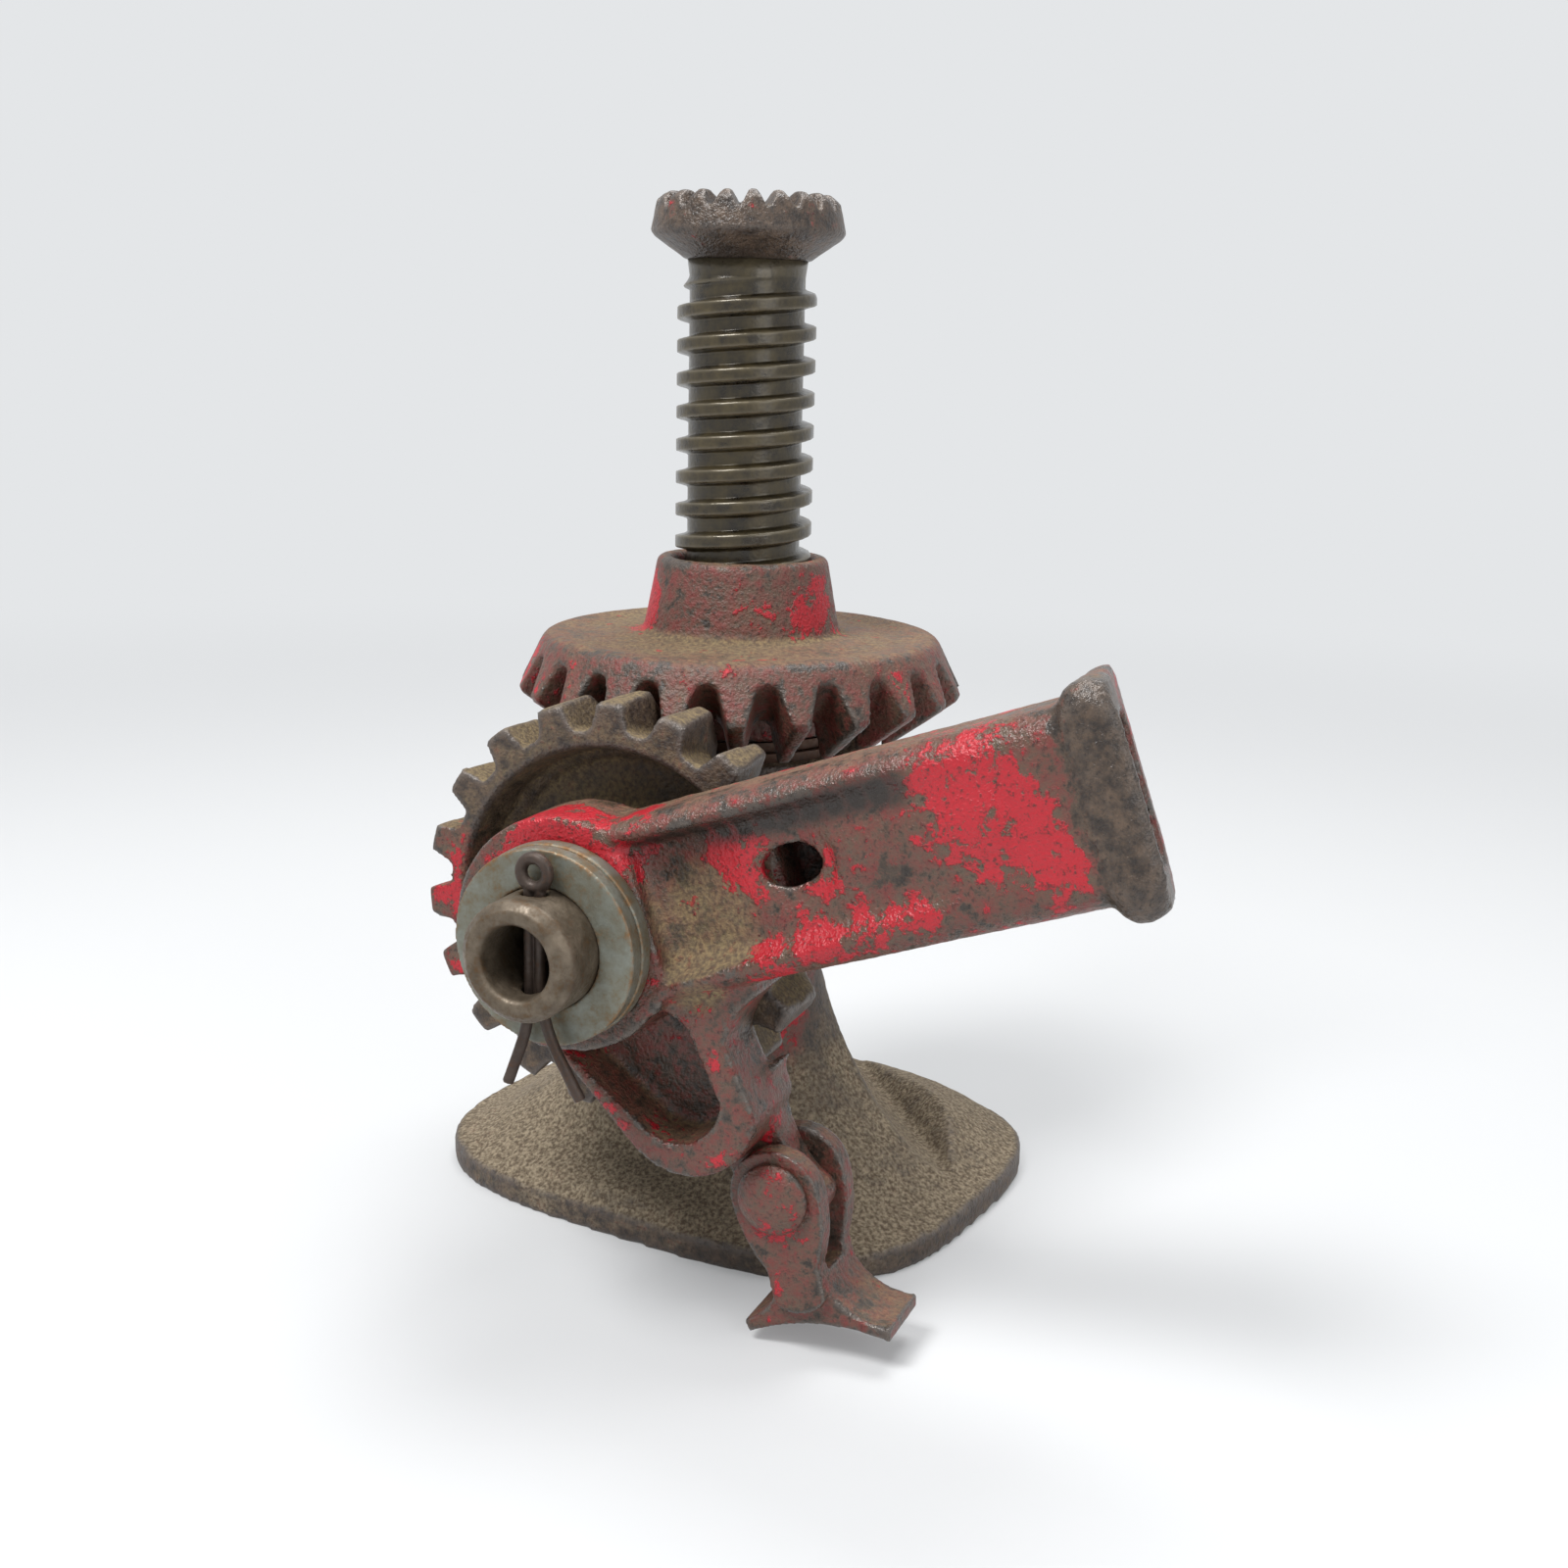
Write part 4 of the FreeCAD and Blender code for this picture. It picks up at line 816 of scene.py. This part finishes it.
class JACK_OT_small_parts(PieceOperator, bpy.types.Operator):
    """Plate the washers and finish the spindle, pins and bushes"""

    bl_idname = "jack.small_parts"
    bl_label = "Washers, spindle and pins"

    def execute(self, context):
        colours = context.scene.jack_colours
        zinc = plated_steel("zinc_plated_steel", colours.zinc, linear("#6A6350"), colours.rust)
        steel = plated_steel("rusty_mild_steel", linear("#6E6253"), linear("#4A4033"), linear("#5C4328"))
        dark = plated_steel("blackened_wire", linear("#4B3F38"), linear("#332B26"), linear("#5A4030"))
        bronze = plated_steel("bearing_bronze", linear("#8C6A3A"), linear("#5E4A2C"), linear("#4A3A24"))
        self.cast(context, "inner_zinc_washer", "inner_spindle_washer", "stand", zinc, 0.55, 3, 0.6)
        self.cast(context, "outer_zinc_washer", "outer_spindle_washer", "stand", zinc, 0.55, 3, 0.6)
        self.cast(context, "hollow_spindle", "pinion_spindle", "stand", steel, 0.7, 3, 0.7)
        self.cast(context, "split_pin", "cotter_pin", "stand", dark, 0.35, 2, 0.2)
        finishes = {
            "column_thrust_washer": dark, "crown_thrust_washer": dark, "spindle_lock_pin": steel,
            "pinion_thrust_washer": steel, "screw_stop_collar": dark, "stop_collar_pin": steel,
            "pinion_bush": bronze, "lever_bush": bronze, "pawl_pin_washer": dark,
        }
        for node, finish in finishes.items():
            for material_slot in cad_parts[node].material_slots:
                material_slot.material = finish
        return {"FINISHED"}


def camera_matrix():
    """The camera's place and axes from its heading, pitch and roll."""
    ahead = Vector((-math.sin(CAMERA_HEADING), math.cos(CAMERA_HEADING), 0))
    level = Vector((math.cos(CAMERA_HEADING), math.sin(CAMERA_HEADING), 0))
    look = ahead * math.cos(CAMERA_PITCH) - Vector((0, 0, math.sin(CAMERA_PITCH)))
    rise = ahead * math.sin(CAMERA_PITCH) + Vector((0, 0, math.cos(CAMERA_PITCH)))
    right = level * math.cos(CAMERA_ROLL) + rise * math.sin(CAMERA_ROLL)
    up = rise * math.cos(CAMERA_ROLL) - level * math.sin(CAMERA_ROLL)
    matrix = Matrix((right, up, -look)).transposed().to_4x4()
    matrix.translation = Vector(CAMERA_PLACE)
    return matrix


def area_light(name, place, target, size, power):
    lamp = bpy.data.lights.new(name, "AREA")
    lamp.shape = "RECTANGLE"
    lamp.size = size[0]
    lamp.size_y = size[1]
    lamp.energy = power
    holder = bpy.data.objects.new(name, lamp)
    bpy.context.scene.collection.objects.link(holder)
    holder.location = place
    holder.rotation_euler = (Vector(target) - Vector(place)).to_track_quat("-Z", "Y").to_euler()
    return holder


def sweep_mesh(width, front, back, radius, height):
    """One sheet that lies flat, curves up behind the object and stands."""
    profile = [(front, 0.0), (back - radius, 0.0)]
    for number in range(1, 17):
        angle = math.pi / 2 * number / 16
        profile.append((back - radius + radius * math.sin(angle), radius - radius * math.cos(angle)))
    profile.append((back, height))
    shape = bmesh.new()
    rows = [
        [shape.verts.new((side * width / 2, depth, level)) for side in (-1, 1)] for depth, level in profile
    ]
    for lower, upper in zip(rows, rows[1:]):
        shape.faces.new((lower[0], lower[1], upper[1], upper[0]))
    mesh = bpy.data.meshes.new("paper_sweep")
    shape.to_mesh(mesh)
    shape.free()
    mesh.shade_smooth()
    return mesh


def seen_directly(tree):
    """1 for rays from the eye or a mirror, 0 for rays that only bring light."""
    rays = add(tree, "ShaderNodeLightPath")
    seen = add(tree, "ShaderNodeMath", {"operation": "MAXIMUM"},
               {0: rays.outputs["Is Camera Ray"], 1: rays.outputs["Is Glossy Ray"]})
    return seen.outputs["Value"]


def pale_paper(colours):
    """Matt white background paper: it takes the object's shadow near by and is evenly pale far away."""
    material, tree, shader = new_material("matt_background_paper")
    shader.inputs["Base Color"].default_value = (*colours.floor, 1)
    shader.inputs["Roughness"].default_value = 0.9
    place = add(tree, "ShaderNodeTexCoord").outputs["Object"]
    distance = add(tree, "ShaderNodeVectorMath", {"operation": "LENGTH"}, {0: place})
    far = add(
        tree, "ShaderNodeMapRange",
        {"interpolation_type": "SMOOTHSTEP", "From Min": 0.3, "From Max": 1.3, "To Min": 0.25,
         "To Max": 1.0},
        {"Value": distance.outputs["Value"]},
    )
    share = add(tree, "ShaderNodeMath", {"operation": "MULTIPLY"},
                {0: far.outputs["Result"], 1: seen_directly(tree)})
    glow = add(tree, "ShaderNodeEmission", {"Strength": 1.0})
    glow.inputs["Color"].default_value = (*linear("#E4E6E8"), 1)
    paper = add(tree, "ShaderNodeMixShader",
                links={0: share.outputs["Value"], 1: shader.outputs["BSDF"], 2: glow.outputs["Emission"]})
    output = next(node for node in tree.nodes if node.type == "OUTPUT_MATERIAL")
    tree.links.new(paper.outputs["Shader"], output.inputs["Surface"])
    return material


class JACK_OT_stage(bpy.types.Operator):
    """Lay the pale floor and set the lights and the camera"""

    bl_idname = "jack.stage"
    bl_label = "Stage"

    def execute(self, context):
        scene = context.scene
        mesh = sweep_mesh(width=9.0, front=-3.0, back=2.4, radius=0.9, height=3.5)
        mesh.materials.append(pale_paper(scene.jack_colours))
        paper = bpy.data.objects.new("paper_sweep", mesh)
        paper.rotation_euler = (0, 0, CAMERA_HEADING)
        scene.collection.objects.link(paper)

        world = bpy.data.worlds.new("studio")
        world.use_nodes = True
        sky = world.node_tree.nodes["Background"]
        strength = add(world.node_tree, "ShaderNodeMapRange",
                       {"From Min": 0.0, "From Max": 1.0, "To Min": 0.4, "To Max": 0.9},
                       {"Value": seen_directly(world.node_tree)})
        sky.inputs["Color"].default_value = (*linear("#E6E8EA"), 1)
        world.node_tree.links.new(strength.outputs["Result"], sky.inputs["Strength"])
        scene.world = world

        target = (0.02, -0.03, 0.13)
        area_light("key", (-0.35, -0.75, 1.35), target, (0.5, 0.5), 20)
        area_light("fill", (1.1, -0.7, 0.6), target, (0.7, 0.9), 4)
        area_light("top", (0.1, 0.3, 1.4), target, (0.7, 0.7), 12)

        camera = bpy.data.cameras.new("photo_camera")
        camera.lens = CAMERA_LENS
        camera.sensor_width = 36
        camera.clip_start = 0.01
        holder = bpy.data.objects.new("photo_camera", camera)
        scene.collection.objects.link(holder)
        holder.matrix_world = camera_matrix()
        scene.camera = holder
        scene.view_settings.view_transform = "Standard"
        return {"FINISHED"}


PIECES = (
    JACK_OT_stand, JACK_OT_crown, JACK_OT_pinion, JACK_OT_lever, JACK_OT_pawl, JACK_OT_screw,
    JACK_OT_small_parts, JACK_OT_stage,
)


class JACK_PT_panel(bpy.types.Panel):
    bl_idname = "JACK_PT_panel"
    bl_label = "Track Jack"
    bl_space_type = "VIEW_3D"
    bl_region_type = "UI"
    bl_category = "Track Jack"

    def draw(self, context):
        layout = self.layout
        for group in (context.scene.jack_sizes, context.scene.jack_colours):
            box = layout.box()
            for name in group.__annotations__:
                box.prop(group, name)
        for piece in PIECES:
            layout.operator(piece.bl_idname)


CLASSES = (JackSizes, JackColours, *PIECES, JACK_PT_panel)


def register():
    for item in CLASSES:
        bpy.utils.register_class(item)
    bpy.types.Scene.jack_sizes = PointerProperty(type=JackSizes)
    bpy.types.Scene.jack_colours = PointerProperty(type=JackColours)


def unregister():
    del bpy.types.Scene.jack_colours
    del bpy.types.Scene.jack_sizes
    for item in reversed(CLASSES):
        bpy.utils.unregister_class(item)


def main():
    register()
    for piece in PIECES:
        group, name = piece.bl_idname.split(".")
        getattr(getattr(bpy.ops, group), name)()


if __name__ == "__main__":
    main()
